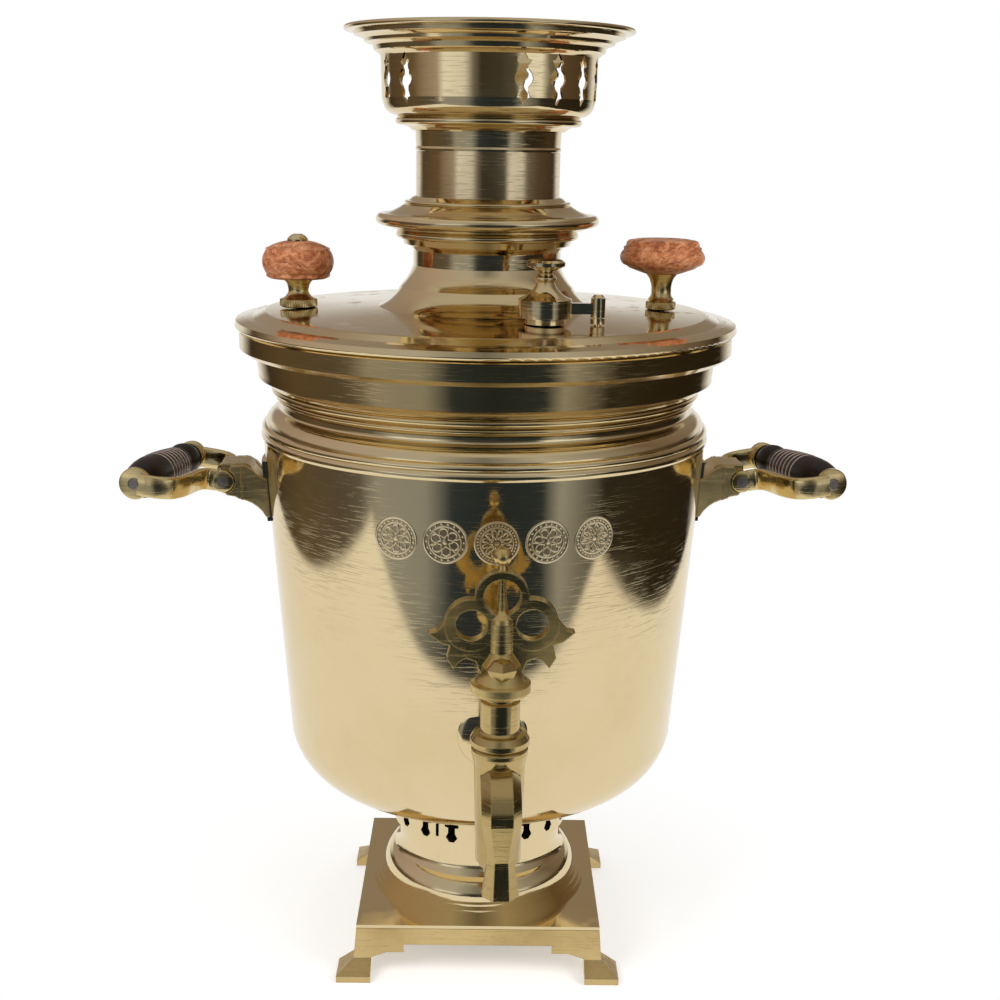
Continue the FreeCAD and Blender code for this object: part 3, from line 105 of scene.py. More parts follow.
class Nodes:
    """A short way to build a node tree."""

    def __init__(self, tree):
        self.tree = tree

    def add(self, kind, **values):
        """A node, with sockets set or linked by name and properties set in lower case."""
        node = self.tree.nodes.new(kind)
        for name, value in values.items():
            if name.islower() and hasattr(node, name):
                setattr(node, name, value)
                continue
            socket = self.input(node, name)
            if isinstance(value, bpy.types.NodeSocket):
                self.tree.links.new(value, socket)
            else:
                socket.default_value = value
        return node

    def input(self, node, name):
        """An input socket by name, or by its place when the name ends in a digit."""
        if name[0] == "i" and name[1:].isdigit():
            return node.inputs[int(name[1:])]
        return node.inputs[name.replace("_", " ")]

    def math(self, operation, *values):
        """Result of a Math node."""
        return self.add("ShaderNodeMath", operation=operation,
                        **{"i%d" % index: value for index, value in enumerate(values)}).outputs[0]

    def between(self, value, low, high, to_low=0.0, to_high=1.0, smooth=True):
        """A value eased from one range to another."""
        node = self.add("ShaderNodeMapRange", interpolation_type="SMOOTHSTEP" if smooth
                        else "LINEAR", i0=value, i1=low, i2=high, i3=to_low, i4=to_high)
        return node.outputs[0]

    def mix(self, factor, first, second):
        """Two colours mixed."""
        node = self.add("ShaderNodeMix", data_type="RGBA")
        for index, value in ((0, factor), (6, first), (7, second)):
            if isinstance(value, bpy.types.NodeSocket):
                self.tree.links.new(value, node.inputs[index])
            else:
                node.inputs[index].default_value = value
        return node.outputs[2]

    def ramp(self, factor, stops):
        """A colour ramp."""
        node = self.add("ShaderNodeValToRGB", Fac=factor)
        points = node.color_ramp.elements
        while len(points) < len(stops):
            points.new(0.5)
        for point, (position, colour) in zip(points, stops):
            point.position = position
            point.color = colour
        return node.outputs[0]

    def noise(self, vector, scale, detail=4.0, rough=0.5):
        """Noise as a value."""
        return self.add("ShaderNodeTexNoise", Vector=vector, Scale=scale, Detail=detail,
                        Roughness=rough).outputs[0]

    def stretched(self, scale, turn=(0, 0, 0)):
        """Object coordinates, stretched."""
        place = self.add("ShaderNodeTexCoord").outputs["Object"]
        return self.add("ShaderNodeMapping", Vector=place, Scale=scale, Rotation=turn).outputs[0]


def grey(level, warmth=0.0):
    """A grey, warmed or cooled a little."""
    return (level * (1 + warmth), level, level * (1 - warmth * 1.6), 1)


def tone(red, green, blue):
    """A colour with full opacity."""
    return (red, green, blue, 1)


# What stands round the samovar, by degrees to the right of the camera: a dark room with two
# soft windows, brown walls at the sides and white paper behind
ROOM = [
    (-180, grey(0.88)), (-142, grey(0.84)), (-128, tone(0.10, 0.07, 0.045)),
    (-86, tone(0.15, 0.105, 0.06)), (-74, tone(0.31, 0.25, 0.20)),
    (-56, tone(0.42, 0.37, 0.33)), (-48, grey(0.98, -0.02)), (-26, grey(0.84, -0.02)),
    (-17, grey(0.20, 0.05)), (-9, tone(0.050, 0.044, 0.034)), (12, tone(0.06, 0.054, 0.044)),
    (27, tone(0.10, 0.095, 0.08)), (34, grey(0.98, -0.02)), (56, grey(0.98, -0.02)),
    (64, grey(0.17, 0.1)), (86, tone(0.11, 0.075, 0.045)), (128, tone(0.055, 0.038, 0.024)),
    (142, grey(0.84)), (180, grey(0.88))]

# What lies on the floor beyond the sheet of white paper, by the same angle
BEYOND = [
    (-180, grey(0.88)), (-150, grey(0.84)), (-134, tone(0.05, 0.037, 0.022)),
    (-104, tone(0.12, 0.09, 0.055)), (-72, tone(0.105, 0.09, 0.075)),
    (-62, tone(0.13, 0.12, 0.11)), (-52, grey(0.34, -0.03)), (-28, grey(0.32, -0.05)),
    (-15, tone(0.032, 0.044, 0.058)), (4, tone(0.020, 0.028, 0.038)),
    (28, tone(0.028, 0.038, 0.046)), (37, grey(0.36, -0.04)), (48, grey(0.20, -0.02)),
    (60, tone(0.030, 0.026, 0.020)), (100, tone(0.026, 0.020, 0.012)),
    (134, tone(0.022, 0.016, 0.010)), (150, grey(0.84)), (180, grey(0.88))]

# What stands higher up, by the same angle, which surfaces that face upwards mirror
UPPER = [
    (-180, tone(0.30, 0.25, 0.20)), (-100, tone(0.48, 0.40, 0.38)), (-30, grey(0.50)),
    (0, grey(0.20)), (30, grey(0.50)), (100, tone(0.18, 0.135, 0.10)),
    (180, tone(0.30, 0.25, 0.20))]

UPPER_FROM, UPPER_WHOLE = 0.06, 0.18
OVERHEAD_FROM, OVERHEAD_WHOLE = 0.60, 0.82
WORLD_LIGHT = 0.62

# Reach of the sheet of paper from the axis, in metres, and how softly it ends
SHEET_FRONT = 0.37
SHEET_LEFT = 0.62
SHEET_RIGHT = 0.54
SHEET_SOFT = 0.03
DIM_NEAR, DIM_FAR, DIM_SHARE = 0.40, 0.60, 0.45
FLOOR_SIZE = 12
FLOOR_GAP = 0.2 * MM
FLOOR_GLOW = 0.34
SHADOW_NEAR, SHADOW_FAR = 0.12, 0.24
LAMPS = [("key_light", (-0.9, -0.9, 1.2), 0.8, 9), ("fill_light", (1.0, -0.6, 1.0), 0.8, 6)]
LAMP_AIM = Vector((0, 0, 0.2))


def by_angle(tree, x, y, stops):
    """A colour by the angle round the samovar, counted from the camera."""
    angle = tree.math("ARCTAN2", x, tree.math("MULTIPLY", y, -1.0))
    share = tree.math("ADD", tree.math("DIVIDE", angle, 2 * math.pi),
                      0.5 + CAMERA_AROUND / (2 * math.pi))
    return tree.ramp(tree.math("FRACT", share),
                     [(angle / 360 + 0.5, colour) for angle, colour in stops])


def add_world():
    """White surroundings, with a dim room and its two windows where metal mirrors them."""
    world = bpy.data.worlds.new("studio")
    bpy.context.scene.world = world
    world.use_nodes = True
    world.node_tree.nodes.clear()
    tree = Nodes(world.node_tree)
    direction = tree.add("ShaderNodeTexCoord").outputs["Generated"]
    x, y, z = tree.add("ShaderNodeSeparateXYZ", Vector=direction).outputs
    room = by_angle(tree, x, y, ROOM)
    raised = tree.between(z, UPPER_FROM, UPPER_WHOLE)
    room = tree.mix(raised, room, by_angle(tree, x, y, UPPER))
    overhead = tree.between(z, OVERHEAD_FROM, OVERHEAD_WHOLE)
    room = tree.mix(overhead, room, grey(0.50, 0.05))
    path = tree.add("ShaderNodeLightPath")
    mirrored = tree.math("MAXIMUM", path.outputs["Is Glossy Ray"],
                         path.outputs["Is Transmission Ray"])
    light = tree.mix(mirrored, grey(WORLD_LIGHT), room)
    light = tree.mix(path.outputs["Is Camera Ray"], light, grey(1.0))
    background = tree.add("ShaderNodeBackground", Color=light, Strength=1.0)
    tree.add("ShaderNodeOutputWorld", Surface=background.outputs[0])


def add_floor():
    """Pale floor that keeps the shadow. Metal mirrors a sheet of paper with the room beyond."""
    bpy.ops.mesh.primitive_plane_add(size=FLOOR_SIZE,
                                     location=(0, 0, cad_box[0][2] - FLOOR_GAP))
    floor = bpy.context.object
    floor.name = "floor"
    material = bpy.data.materials.new("floor_white")
    material.use_nodes = True
    material.node_tree.nodes.clear()
    tree = Nodes(material.node_tree)
    place = tree.add("ShaderNodeTexCoord").outputs["Object"]
    x, y, z = tree.add("ShaderNodeSeparateXYZ", Vector=place).outputs
    front = tree.between(tree.math("MULTIPLY", y, -1.0), SHEET_FRONT, SHEET_FRONT + SHEET_SOFT)
    right = tree.between(x, SHEET_RIGHT, SHEET_RIGHT + SHEET_SOFT)
    left = tree.between(x, -SHEET_LEFT, -SHEET_LEFT - SHEET_SOFT)
    outside = tree.math("MAXIMUM", front, tree.math("MAXIMUM", left, right))
    away = tree.add("ShaderNodeVectorMath", operation="LENGTH", i0=place).outputs["Value"]
    beyond = by_angle(tree, x, y, BEYOND)
    dimmed = tree.between(away, DIM_NEAR, DIM_FAR, DIM_SHARE, 1.0)
    beyond = tree.mix(dimmed, grey(0.03), beyond)
    seen = tree.mix(outside, grey(0.90, 0.02), beyond)
    mirrored = tree.add("ShaderNodeEmission", Color=seen, Strength=1.0)
    paper = tree.add("ShaderNodeBsdfDiffuse", Color=grey(0.9))
    glow = tree.add("ShaderNodeEmission", Color=grey(1.0), Strength=FLOOR_GLOW)
    lit = tree.add("ShaderNodeAddShader", i0=paper.outputs[0], i1=glow.outputs[0])
    white = tree.add("ShaderNodeEmission", Color=grey(1.0), Strength=1.0)
    path = tree.add("ShaderNodeLightPath")
    fade = tree.math("MULTIPLY", tree.between(away, SHADOW_NEAR, SHADOW_FAR),
                     path.outputs["Is Camera Ray"])
    shown = tree.add("ShaderNodeMixShader", i0=fade, i1=lit.outputs[0], i2=white.outputs[0])
    both = tree.add("ShaderNodeMixShader", i0=path.outputs["Is Glossy Ray"],
                    i1=shown.outputs[0], i2=mirrored.outputs[0])
    tree.add("ShaderNodeOutputMaterial", Surface=both.outputs[0])
    floor.data.materials.append(material)


def add_lamp(name, place, size, power):
    """A soft lamp aimed at the middle of the samovar."""
    data = bpy.data.lights.new(name, "AREA")
    data.size = size
    data.energy = power
    lamp = bpy.data.objects.new(name, data)
    bpy.context.scene.collection.objects.link(lamp)
    lamp.location = place
    aim = LAMP_AIM - Vector(place)
    lamp.rotation_euler = aim.to_track_quat("-Z", "Y").to_euler()
    lamp.visible_glossy = False


# Materials

def new_material(name):
    """An empty material with its shader, as (material, tree, shader)."""
    material = bpy.data.materials.new(name)
    material.use_nodes = True
    material.node_tree.nodes.clear()
    tree = Nodes(material.node_tree)
    shader = tree.add("ShaderNodeBsdfPrincipled")
    tree.add("ShaderNodeOutputMaterial", Surface=shader.outputs[0])
    return material, tree, shader


def brass(name, light, deep, rough, streak=0.12, scratch=0.1, lump=0.0, tarnish=0.35,
          edge=0.0):
    """Brass: two tones of tarnish, turning streaks round the axis, and fine loose scratches."""
    material, tree, shader = new_material(name)
    shader.inputs["Metallic"].default_value = 1.0
    cloud = tree.noise(tree.stretched((1, 1, 1)), 14.0, 6.0, 0.6)
    spots = tree.noise(tree.stretched((1, 1, 1)), 420.0, 3.0, 0.6)
    aged = tree.between(cloud, 0.42, 0.74)
    speck = tree.between(spots, 0.66, 0.76)
    tarnish_and_painted_light = tree.math("MULTIPLY", tree.math("MAXIMUM", aged, speck), tarnish)
    colour = tree.mix(tarnish_and_painted_light, light + (1,), deep + (1,))
    turning = tree.noise(tree.stretched((7, 7, 2600)), 1.0, 3.0, 0.65)
    loose = []
    for turn in (0.5, -0.9, 2.2):
        run = tree.noise(tree.stretched((60, 60, 2200), (turn, 0.35 * turn, 0)), 1.0, 1.0, 0.4)
        loose.append(tree.between(run, 0.66, 0.74))
    lines = tree.math("MAXIMUM", loose[0], tree.math("MAXIMUM", loose[1], loose[2]))
    broad = tree.noise(tree.stretched((1, 1, 1)), 30.0, 5.0, 0.6)
    roughness = tree.math("ADD", tree.between(broad, 0.3, 0.8, rough * 0.7, rough * 1.7),
                          tree.math("MULTIPLY", lines, 0.12))
    tree.tree.links.new(colour, shader.inputs["Base Color"])
    tree.tree.links.new(roughness, shader.inputs["Roughness"])
    relief = tree.add("ShaderNodeBump", Strength=streak, Distance=0.00006, Height=turning)
    if edge:
        rounded = tree.add("ShaderNodeBevel", samples=4, Radius=edge)
        tree.tree.links.new(rounded.outputs[0], relief.inputs["Normal"])
    relief = tree.add("ShaderNodeBump", Strength=scratch, Distance=0.00012, Height=lines,
                      Normal=relief.outputs[0])
    if lump:
        dents = tree.noise(tree.stretched((1, 1, 1)), 55.0, 3.0, 0.5)
        relief = tree.add("ShaderNodeBump", Strength=lump, Distance=0.002, Height=dents,
                          Normal=relief.outputs[0])
    tree.tree.links.new(relief.outputs[0], shader.inputs["Normal"])
    return material


def burl(name):
    """Reddish burl with swirling dark and light figure under a worn polish."""
    material, tree, shader = new_material(name)
    warp = tree.noise(tree.stretched((1, 1, 1)), 60.0, 4.0, 0.6)
    place = tree.stretched((1, 1, 2.2))
    shift = tree.add("ShaderNodeVectorMath", operation="MULTIPLY_ADD", i0=warp,
                     i1=(0.03, 0.03, 0.05), i2=place)
    figure = tree.noise(shift.outputs[0], 170.0, 9.0, 0.72)
    colour = tree.ramp(figure, [(0.30, (0.09, 0.022, 0.008, 1)), (0.43, (0.33, 0.095, 0.030, 1)),
                                (0.55, (0.60, 0.23, 0.095, 1)), (0.72, (0.80, 0.45, 0.25, 1))])
    tree.tree.links.new(colour, shader.inputs["Base Color"])
    tree.tree.links.new(tree.between(figure, 0.3, 0.7, 0.5, 0.32), shader.inputs["Roughness"])
    relief = tree.add("ShaderNodeBump", Strength=0.35, Distance=0.0004, Height=figure)
    tree.tree.links.new(relief.outputs[0], shader.inputs["Normal"])
    return material


def dark_wood(name):
    """Dark stained hardwood with fine grain and a waxed sheen."""
    material, tree, shader = new_material(name)
    grain = tree.noise(tree.stretched((420, 26, 420)), 1.0, 5.0, 0.6)
    colour = tree.ramp(grain, [(0.3, (0.003, 0.002, 0.002, 1)), (0.6, (0.014, 0.008, 0.006, 1)),
                               (0.8, (0.05, 0.026, 0.018, 1))])
    shader.inputs["Specular IOR Level"].default_value = 0.25
    tree.tree.links.new(colour, shader.inputs["Base Color"])
    tree.tree.links.new(tree.between(grain, 0.3, 0.8, 0.32, 0.5), shader.inputs["Roughness"])
    relief = tree.add("ShaderNodeBump", Strength=0.3, Distance=0.0003, Height=grain)
    tree.tree.links.new(relief.outputs[0], shader.inputs["Normal"])
    return material


def pale_line(name):
    """Lighter wood in the scored lines of a dark grip."""
    material, tree, shader = new_material(name)
    grain = tree.noise(tree.stretched((1, 1, 1)), 900.0, 3.0, 0.6)
    tree.tree.links.new(tree.mix(grain, (0.62, 0.48, 0.41, 1), (0.28, 0.19, 0.16, 1)),
                        shader.inputs["Base Color"])
    shader.inputs["Roughness"].default_value = 0.5
    return material


def struck_brass(name):
    """Struck relief: bright where the lines stand up, a painted highlight, and brown and dull on
    the ground, painted shade.
    """
    material, tree, shader = new_material(name)
    shader.inputs["Metallic"].default_value = 1.0
    raised = tree.add("ShaderNodeAttribute", attribute_name="raised").outputs["Fac"]
    grit = tree.noise(tree.stretched((1, 1, 1)), 1500.0, 3.0, 0.6)
    # Painted light: raised lines get a lighter brass as a painted highlight and the ground a
    # darker brown as painted shade, with fine grit mixed in.
    tarnish_and_painted_light = tree.between(tree.math("ADD", raised, tree.math("MULTIPLY", grit, 0.3)), 0.3, 1.0)
    tree.tree.links.new(tree.mix(tarnish_and_painted_light, (0.56, 0.45, 0.26, 1), (0.86, 0.76, 0.54, 1)),
                        shader.inputs["Base Color"])
    tree.tree.links.new(tree.between(tarnish_and_painted_light, 0.0, 1.0, 0.24, 0.32), shader.inputs["Roughness"])
    relief = tree.add("ShaderNodeBump", Strength=0.3, Distance=0.0001, Height=grit)
    tree.tree.links.new(relief.outputs[0], shader.inputs["Normal"])
    return material


def dull_metal(name, light, deep, rough):
    """Steel or iron with a mottled skin."""
    material, tree, shader = new_material(name)
    shader.inputs["Metallic"].default_value = 1.0
    skin = tree.noise(tree.stretched((1, 1, 1)), 900.0, 5.0, 0.6)
    tree.tree.links.new(tree.mix(skin, light + (1,), deep + (1,)), shader.inputs["Base Color"])
    tree.tree.links.new(tree.between(skin, 0.3, 0.7, rough, rough + 0.2),
                        shader.inputs["Roughness"])
    relief = tree.add("ShaderNodeBump", Strength=0.3, Distance=0.0003, Height=skin)
    tree.tree.links.new(relief.outputs[0], shader.inputs["Normal"])
    return material


MATERIALS = {
    "polished_brass": brass("polished_brass", (0.77, 0.635, 0.385), (0.66, 0.50, 0.26), 0.075,
                            streak=0.05, scratch=0.06),
    "gilt_brass": brass("gilt_brass", (0.72, 0.55, 0.28), (0.50, 0.35, 0.13), 0.09,
                        streak=0.07, scratch=0.08),
    "tube_brass": brass("tube_brass", (0.74, 0.61, 0.39), (0.52, 0.37, 0.18), 0.13, streak=0.2),
    "cast_brass": brass("cast_brass", (0.64, 0.48, 0.225), (0.37, 0.25, 0.085), 0.22, streak=0.03,
                        scratch=0.2, lump=0.22, tarnish=0.6, edge=0.0008),
    "tap_brass": brass("tap_brass", (0.52, 0.39, 0.165), (0.29, 0.20, 0.065), 0.15, streak=0.05,
                       scratch=0.15, lump=0.10, tarnish=0.6, edge=0.0006),
    "key_brass": brass("key_brass", (0.66, 0.50, 0.21), (0.36, 0.26, 0.08), 0.30, streak=0.03,
                       scratch=0.2, lump=0.2, tarnish=0.7, edge=0.0009),
    "bracket_brass": brass("bracket_brass", (0.66, 0.52, 0.26), (0.40, 0.29, 0.12), 0.32,
                           streak=0.03, scratch=0.2, lump=0.15, tarnish=0.6, edge=0.0006),
    "strap_brass": brass("strap_brass", (0.74, 0.59, 0.30), (0.46, 0.32, 0.12), 0.15,
                         streak=0.03, scratch=0.15, lump=0.10, tarnish=0.5),
    "fire_iron": dull_metal("fire_iron", (0.12, 0.10, 0.09), (0.03, 0.025, 0.02), 0.6),
    "red_wood": burl("red_wood"),
    "dark_wood": dark_wood("dark_wood"),
    "pale_line": pale_line("pale_line"),
    "medal": struck_brass("medal"),
    "rivet_steel": dull_metal("rivet_steel", (0.40, 0.38, 0.35), (0.18, 0.16, 0.14), 0.3),
}


def dress_nodes():
    """Every CAD node gets the material of its slot."""
    slots = {part["node"]: part["material_slot"] for part in frame["record"]["subparts"]}
    for name, item in nodes.items():
        material = MATERIALS[slots[name]]
        if item.data.materials:
            for index in range(len(item.data.materials)):
                item.data.materials[index] = material
        else:
            item.data.materials.append(material)


# Shapes

def add_piece(name, vertices, faces, material, body, slot, crease=35.0):
    """A mesh that rides on a body, shaded smooth except over its creases."""
    mesh = bpy.data.meshes.new(name)
    mesh.from_pydata([tuple(vertex) for vertex in vertices], [], faces)
    work = bmesh.new()
    work.from_mesh(mesh)
    bmesh.ops.remove_doubles(work, verts=work.verts, dist=1e-6)
    bmesh.ops.recalc_face_normals(work, faces=work.faces)
    work.to_mesh(mesh)
    work.free()
    mesh.materials.append(MATERIALS[material])
    mesh.polygons.foreach_set("use_smooth", [True] * len(mesh.polygons))
    mesh.set_sharp_from_angle(angle=math.radians(crease))
    item = bpy.data.objects.new(name, mesh)
    bpy.context.scene.collection.objects.link(item)
    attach(item, body)
    return item


def lathe(profile, steps=96, wave=None):
    """Surface turned round Z from (radius, height) points, as vertices and faces. A wave
    (count, depth, low, high) ripples the radius between two heights, like knurling."""
    vertices = []
    for radius, height in profile:
        for step in range(steps):
            angle = 2 * math.pi * step / steps
            reach = radius
            if wave and wave[2] <= height <= wave[3]:
                reach -= wave[1] * (0.5 + 0.5 * math.cos(angle * wave[0]))
            vertices.append(Vector((reach * math.cos(angle), reach * math.sin(angle), height)))
    faces = []
    for row in range(len(profile) - 1):
        for step in range(steps):
            after = (step + 1) % steps
            faces.append((row * steps + step, row * steps + after,
                          (row + 1) * steps + after, (row + 1) * steps + step))
    return vertices, faces


def smooth_line(points, steps=10):
    """Points along a smooth line through the given ones."""
    points = [Vector(point) for point in points]
    padded = [2 * points[0] - points[1]] + points + [2 * points[-1] - points[-2]]
    line = []
    for first, start, end, last in zip(padded, padded[1:], padded[2:], padded[3:]):
        for step in range(steps):
            share = step / steps
            line.append(0.5 * (2 * start + (end - first) * share
                               + (2 * first - 5 * start + 4 * end - last) * share ** 2
                               + (3 * start - first - 3 * end + last) * share ** 3))
    return line + [points[-1]]


def strap(points, thick, tall, soft):
    """A flat strap on edge along a smooth line in plan, with its long edges rounded."""
    line = smooth_line([(across, along, 0) for across, along in points])
    half, high = thick / 2, tall / 2
    section = [(half, -high + soft), (half * 1.08, 0), (half, high - soft),
               (half - soft * 0.3, high - soft * 0.3), (half - soft, high),
               (-half + soft, high), (-half + soft * 0.3, high - soft * 0.3),
               (-half, high - soft), (-half, -high + soft),
               (-half + soft * 0.3, -high + soft * 0.3), (-half + soft, -high),
               (half - soft, -high), (half - soft * 0.3, -high + soft * 0.3)]
    count = len(section)
    vertices = []
    for index, spot in enumerate(line):
        ahead = line[min(index + 1, len(line) - 1)] - line[max(index - 1, 0)]
        side = Vector((ahead.y, -ahead.x, 0)).normalized()
        vertices += [spot + side * out + Vector((0, 0, up)) for out, up in section]
    faces = []
    for row in range(len(line) - 1):
        for step in range(count):
            after = (step + 1) % count
            faces.append((row * count + step, row * count + after,
                          (row + 1) * count + after, (row + 1) * count + step))
    faces.append(tuple(range(count)))
    faces.append(tuple(range(len(vertices) - count, len(vertices))))
    return vertices, faces


def slab(outline, near, far, soft):
    """A flat outline in XZ given thickness along Y, with its edges rounded."""
    work = bmesh.new()
    face = work.faces.new([work.verts.new((x, near, z)) for x, z in outline])
    grown = bmesh.ops.extrude_face_region(work, geom=[face])
    moved = [item for item in grown["geom"] if isinstance(item, bmesh.types.BMVert)]
    bmesh.ops.translate(work, verts=moved, vec=(0, far - near, 0))
    bmesh.ops.recalc_face_normals(work, faces=work.faces)
    sharp = [edge for edge in work.edges if edge.calc_face_angle(0) > math.radians(50)]
    bmesh.ops.bevel(work, geom=sharp, offset=soft, segments=2, affect="EDGES",
                    clamp_overlap=True)
    work.verts.index_update()
    vertices = [vertex.co.copy() for vertex in work.verts]
    faces = [tuple(vertex.index for vertex in each.verts) for each in work.faces]
    work.free()
    return vertices, faces


def joined(*parts):
    """Several lots of vertices and faces as one."""
    vertices, faces = [], []
    for more, rings in parts:
        faces += [tuple(index + len(vertices) for index in ring) for ring in rings]
        vertices += list(more)
    return vertices, faces


def moved(part, matrix):
    """Vertices and faces, moved by a matrix."""
    return [matrix @ Vector(vertex) for vertex in part[0]], part[1]


# Tank

SHEET = 1.2
TANK_STEPS = 288
BOWL_ARC = (66.9, 122.5, 34.0)
BOWL_TURNS, INNER_TURNS = range(-4, 83, 6), range(82, -5, -6)
BOWL_FLAT = [(43.6, 86.0), (51.5, 86.0)]
WALL = [(106.2, 190.0), (111.6, 262.0), (112.3, 271.6)]
SHOULDER = [(112.9, 272.1), (113.25, 273.0), (113.3, 274.0), (113.1, 274.9), (112.5, 275.6),
            (112.2, 275.9), (112.6, 276.3), (112.9, 277.0), (112.9, 278.0), (112.5, 278.9),
            (111.7, 279.5), (111.0, 279.8), (110.9, 280.6), (110.4, 282.2), (109.4, 283.8),
            (107.9, 285.2), (106.2, 286.1), (104.6, 286.6), (103.8, 287.2), (103.6, 288.0),
            (103.6, 290.0)]


def add_tank():
    """Spun tank with the two beads of its shoulder close under the mouth ring."""
    across, up, arc = BOWL_ARC
    bowl = [(across + arc * math.sin(math.radians(turn)), up - arc * math.cos(math.radians(turn)))
            for turn in BOWL_TURNS]
    outer = BOWL_FLAT + bowl + WALL + SHOULDER
    inner = [(radius - SHEET, height) for radius, height in reversed(WALL + SHOULDER)]
    inner += [(across + (arc - SHEET) * math.sin(math.radians(turn)),
               up - (arc - SHEET) * math.cos(math.radians(turn))) for turn in INNER_TURNS]
    inner += [(radius, height + SHEET) for radius, height in reversed(BOWL_FLAT)]
    profile = [(radius * MM, height * MM) for radius, height in outer + inner + BOWL_FLAT[:1]]
    piece = add_piece("spun_tank", *lathe(profile, TANK_STEPS), "polished_brass", "samovar",
                      "polished_brass", crease=40)
    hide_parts("body_shell")


# Medals on the wall

MEDAL_RADIUS = 10.5 * MM
MEDAL_HEIGHT = 243.3 * MM
MEDAL_TURNS = (-24.2, -12.1, 0.0, 12.1, 24.2)
MEDAL_PETALS = (8, 6, 12, 7, 10)
MEDAL_RAISED = 0.3 * MM
MEDAL_EDGE = -0.1 * MM
MEDAL_RINGS, MEDAL_SPOKES = 46, 200
MEDAL_BAND = 12 * MM
CLEAR_ANGLE = 40
PROBE_START = 0.3


def wall_radius(height):
    """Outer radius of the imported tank's wall at a height, away from the tap. It is measured
    before add_tank puts its own tank in place."""
    tree = BVHTree.FromObject(nodes["body_shell"], bpy.context.evaluated_depsgraph_get())
    angle = math.radians(CLEAR_ANGLE)
    way = Vector((math.sin(angle), -math.cos(angle), 0))
    hit = tree.ray_cast(way * PROBE_START + Vector((0, 0, height)), -way)[0]
    return math.hypot(hit.x, hit.y)


def line_mark(distance, half):
    """1 on a line, easing to 0 at its edges."""
    return max(0.0, 1.0 - (distance / half) ** 2) if distance < half else 0.0


def rosette(share, angle, petals, turn):
    """Height of a struck rosette, 0 to 1, at a share of its radius and an angle."""
    wave = abs(math.cos(petals * (angle + turn) / 2))
    marks = [
        line_mark(abs(share - 0.93), 0.045),
        line_mark(abs(share - 0.70), 0.03),
        line_mark(abs(share - (0.30 + 0.32 * wave ** 0.6)), 0.04),
        line_mark(abs(share - (0.20 + 0.20 * (1 - wave))), 0.035),
        line_mark(share, 0.12)]
    beads = 3 * petals
    apart = abs((angle * beads / (2 * math.pi)) % 1 - 0.5) / beads * 2 * math.pi * share
    marks.append(line_mark(math.hypot(apart, share - 0.815), 0.05))
    rays = abs((angle * petals / (2 * math.pi) + 0.25) % 1 - 0.5) / petals * 2 * math.pi * share
    if 0.40 < share < 0.66:
        marks.append(line_mark(rays, 0.03) * 0.8)
    return max(marks)


def add_medals():
    """Five struck rosettes in a row above the tap, following the wall."""
    low, high = MEDAL_HEIGHT - MEDAL_BAND, MEDAL_HEIGHT + MEDAL_BAND
    low_radius, high_radius = wall_radius(low), wall_radius(high)
    rings, spokes = MEDAL_RINGS, MEDAL_SPOKES
    for number, (turn, petals) in enumerate(zip(MEDAL_TURNS, MEDAL_PETALS)):
        vertices, raised = [], []
        for ring in range(rings + 1):
            share = ring / rings
            for spoke in range(spokes):
                angle = 2 * math.pi * spoke / spokes
                mark = rosette(share, angle, petals, 0.13 * number)
                across = MEDAL_RADIUS * share * math.sin(angle)
                height = MEDAL_HEIGHT + MEDAL_RADIUS * share * math.cos(angle)
                wall = low_radius + (high_radius - low_radius) * (height - low) / (high - low)
                lift = MEDAL_RAISED * (0.35 + 0.65 * mark) if ring < rings else MEDAL_EDGE
                around = math.radians(turn) + across / wall
                reach = wall + lift
                vertices.append((reach * math.sin(around), -reach * math.cos(around), height))
                raised.append(mark)
        faces = []
        for ring in range(rings):
            for spoke in range(spokes):
                after = (spoke + 1) % spokes
                faces.append((ring * spokes + spoke, (ring + 1) * spokes + spoke,
                              (ring + 1) * spokes + after, ring * spokes + after))
        mesh = bpy.data.meshes.new("medal_%d" % number)
        mesh.from_pydata(vertices, [], faces)
        # The raised mark also drives the medal material's painted highlight on the ridges and
        # painted shade on the ground.
        mesh.attributes.new("raised", "FLOAT", "POINT").data.foreach_set("value", raised)
        mesh.materials.append(MATERIALS["medal"])
        mesh.polygons.foreach_set("use_smooth", [True] * len(mesh.polygons))
        medal = bpy.data.objects.new("medal_%d" % number, mesh)
        bpy.context.scene.collection.objects.link(medal)
        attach(medal, "samovar")


# Handles

PIN_PLACE = 132.6 * MM
PIN_HEIGHT = 249.4 * MM
HANDLE_TILT = 8.0
EYE = Vector((38.4, -38.6, 0)) * MM
REAR = Vector((22.4, 34.0, 0)) * MM
EYE_RADIUS = 7.8 * MM
STRAP_THICK = 4.2 * MM
STRAP_TALL = 10.8 * MM
TONGUE_RADIUS = 5.6 * MM
BRACKET_HALF = 9.0 * MM
TONGUE_GAP = 0.3 * MM
FRONT_LINE = [(3, -11.4), (7.5, -11.5), (11, -14.5), (13.8, -22), (16.6, -32), (21, -40),
              (27.5, -43.0), (33, -42.6), (37, -41.6)]
REAR_LINE = [(1.6, 11.4), (-0.6, 13.2), (-1.2, 18), (-1.0, 25), (1.6, 31), (7, 34.6), (14, 35.9),
             (21, 36.1)]
GRIP_BODY = [(0.4, 2.6), (0.4, 6.0), (0.9, 6.7), (3, 7.8), (7, 9.1), (12, 9.9), (17, 10.2),
             (22, 10.2)]
GROOVE_FIRST, GROOVE_PITCH, GROOVE_COUNT = 23.2, 4.3, 7
GROOVE_WIDE, GROOVE_DEEP = 1.3, 0.6
GRIP_END = [(53.6, 8.3), (55.2, 7.3), (56.2, 7.1), (57.4, 7.5), (60, 8.4), (63, 8.7), (66, 8.4),
            (69, 7.4), (70.6, 6.5), (70.9, 2.6)]


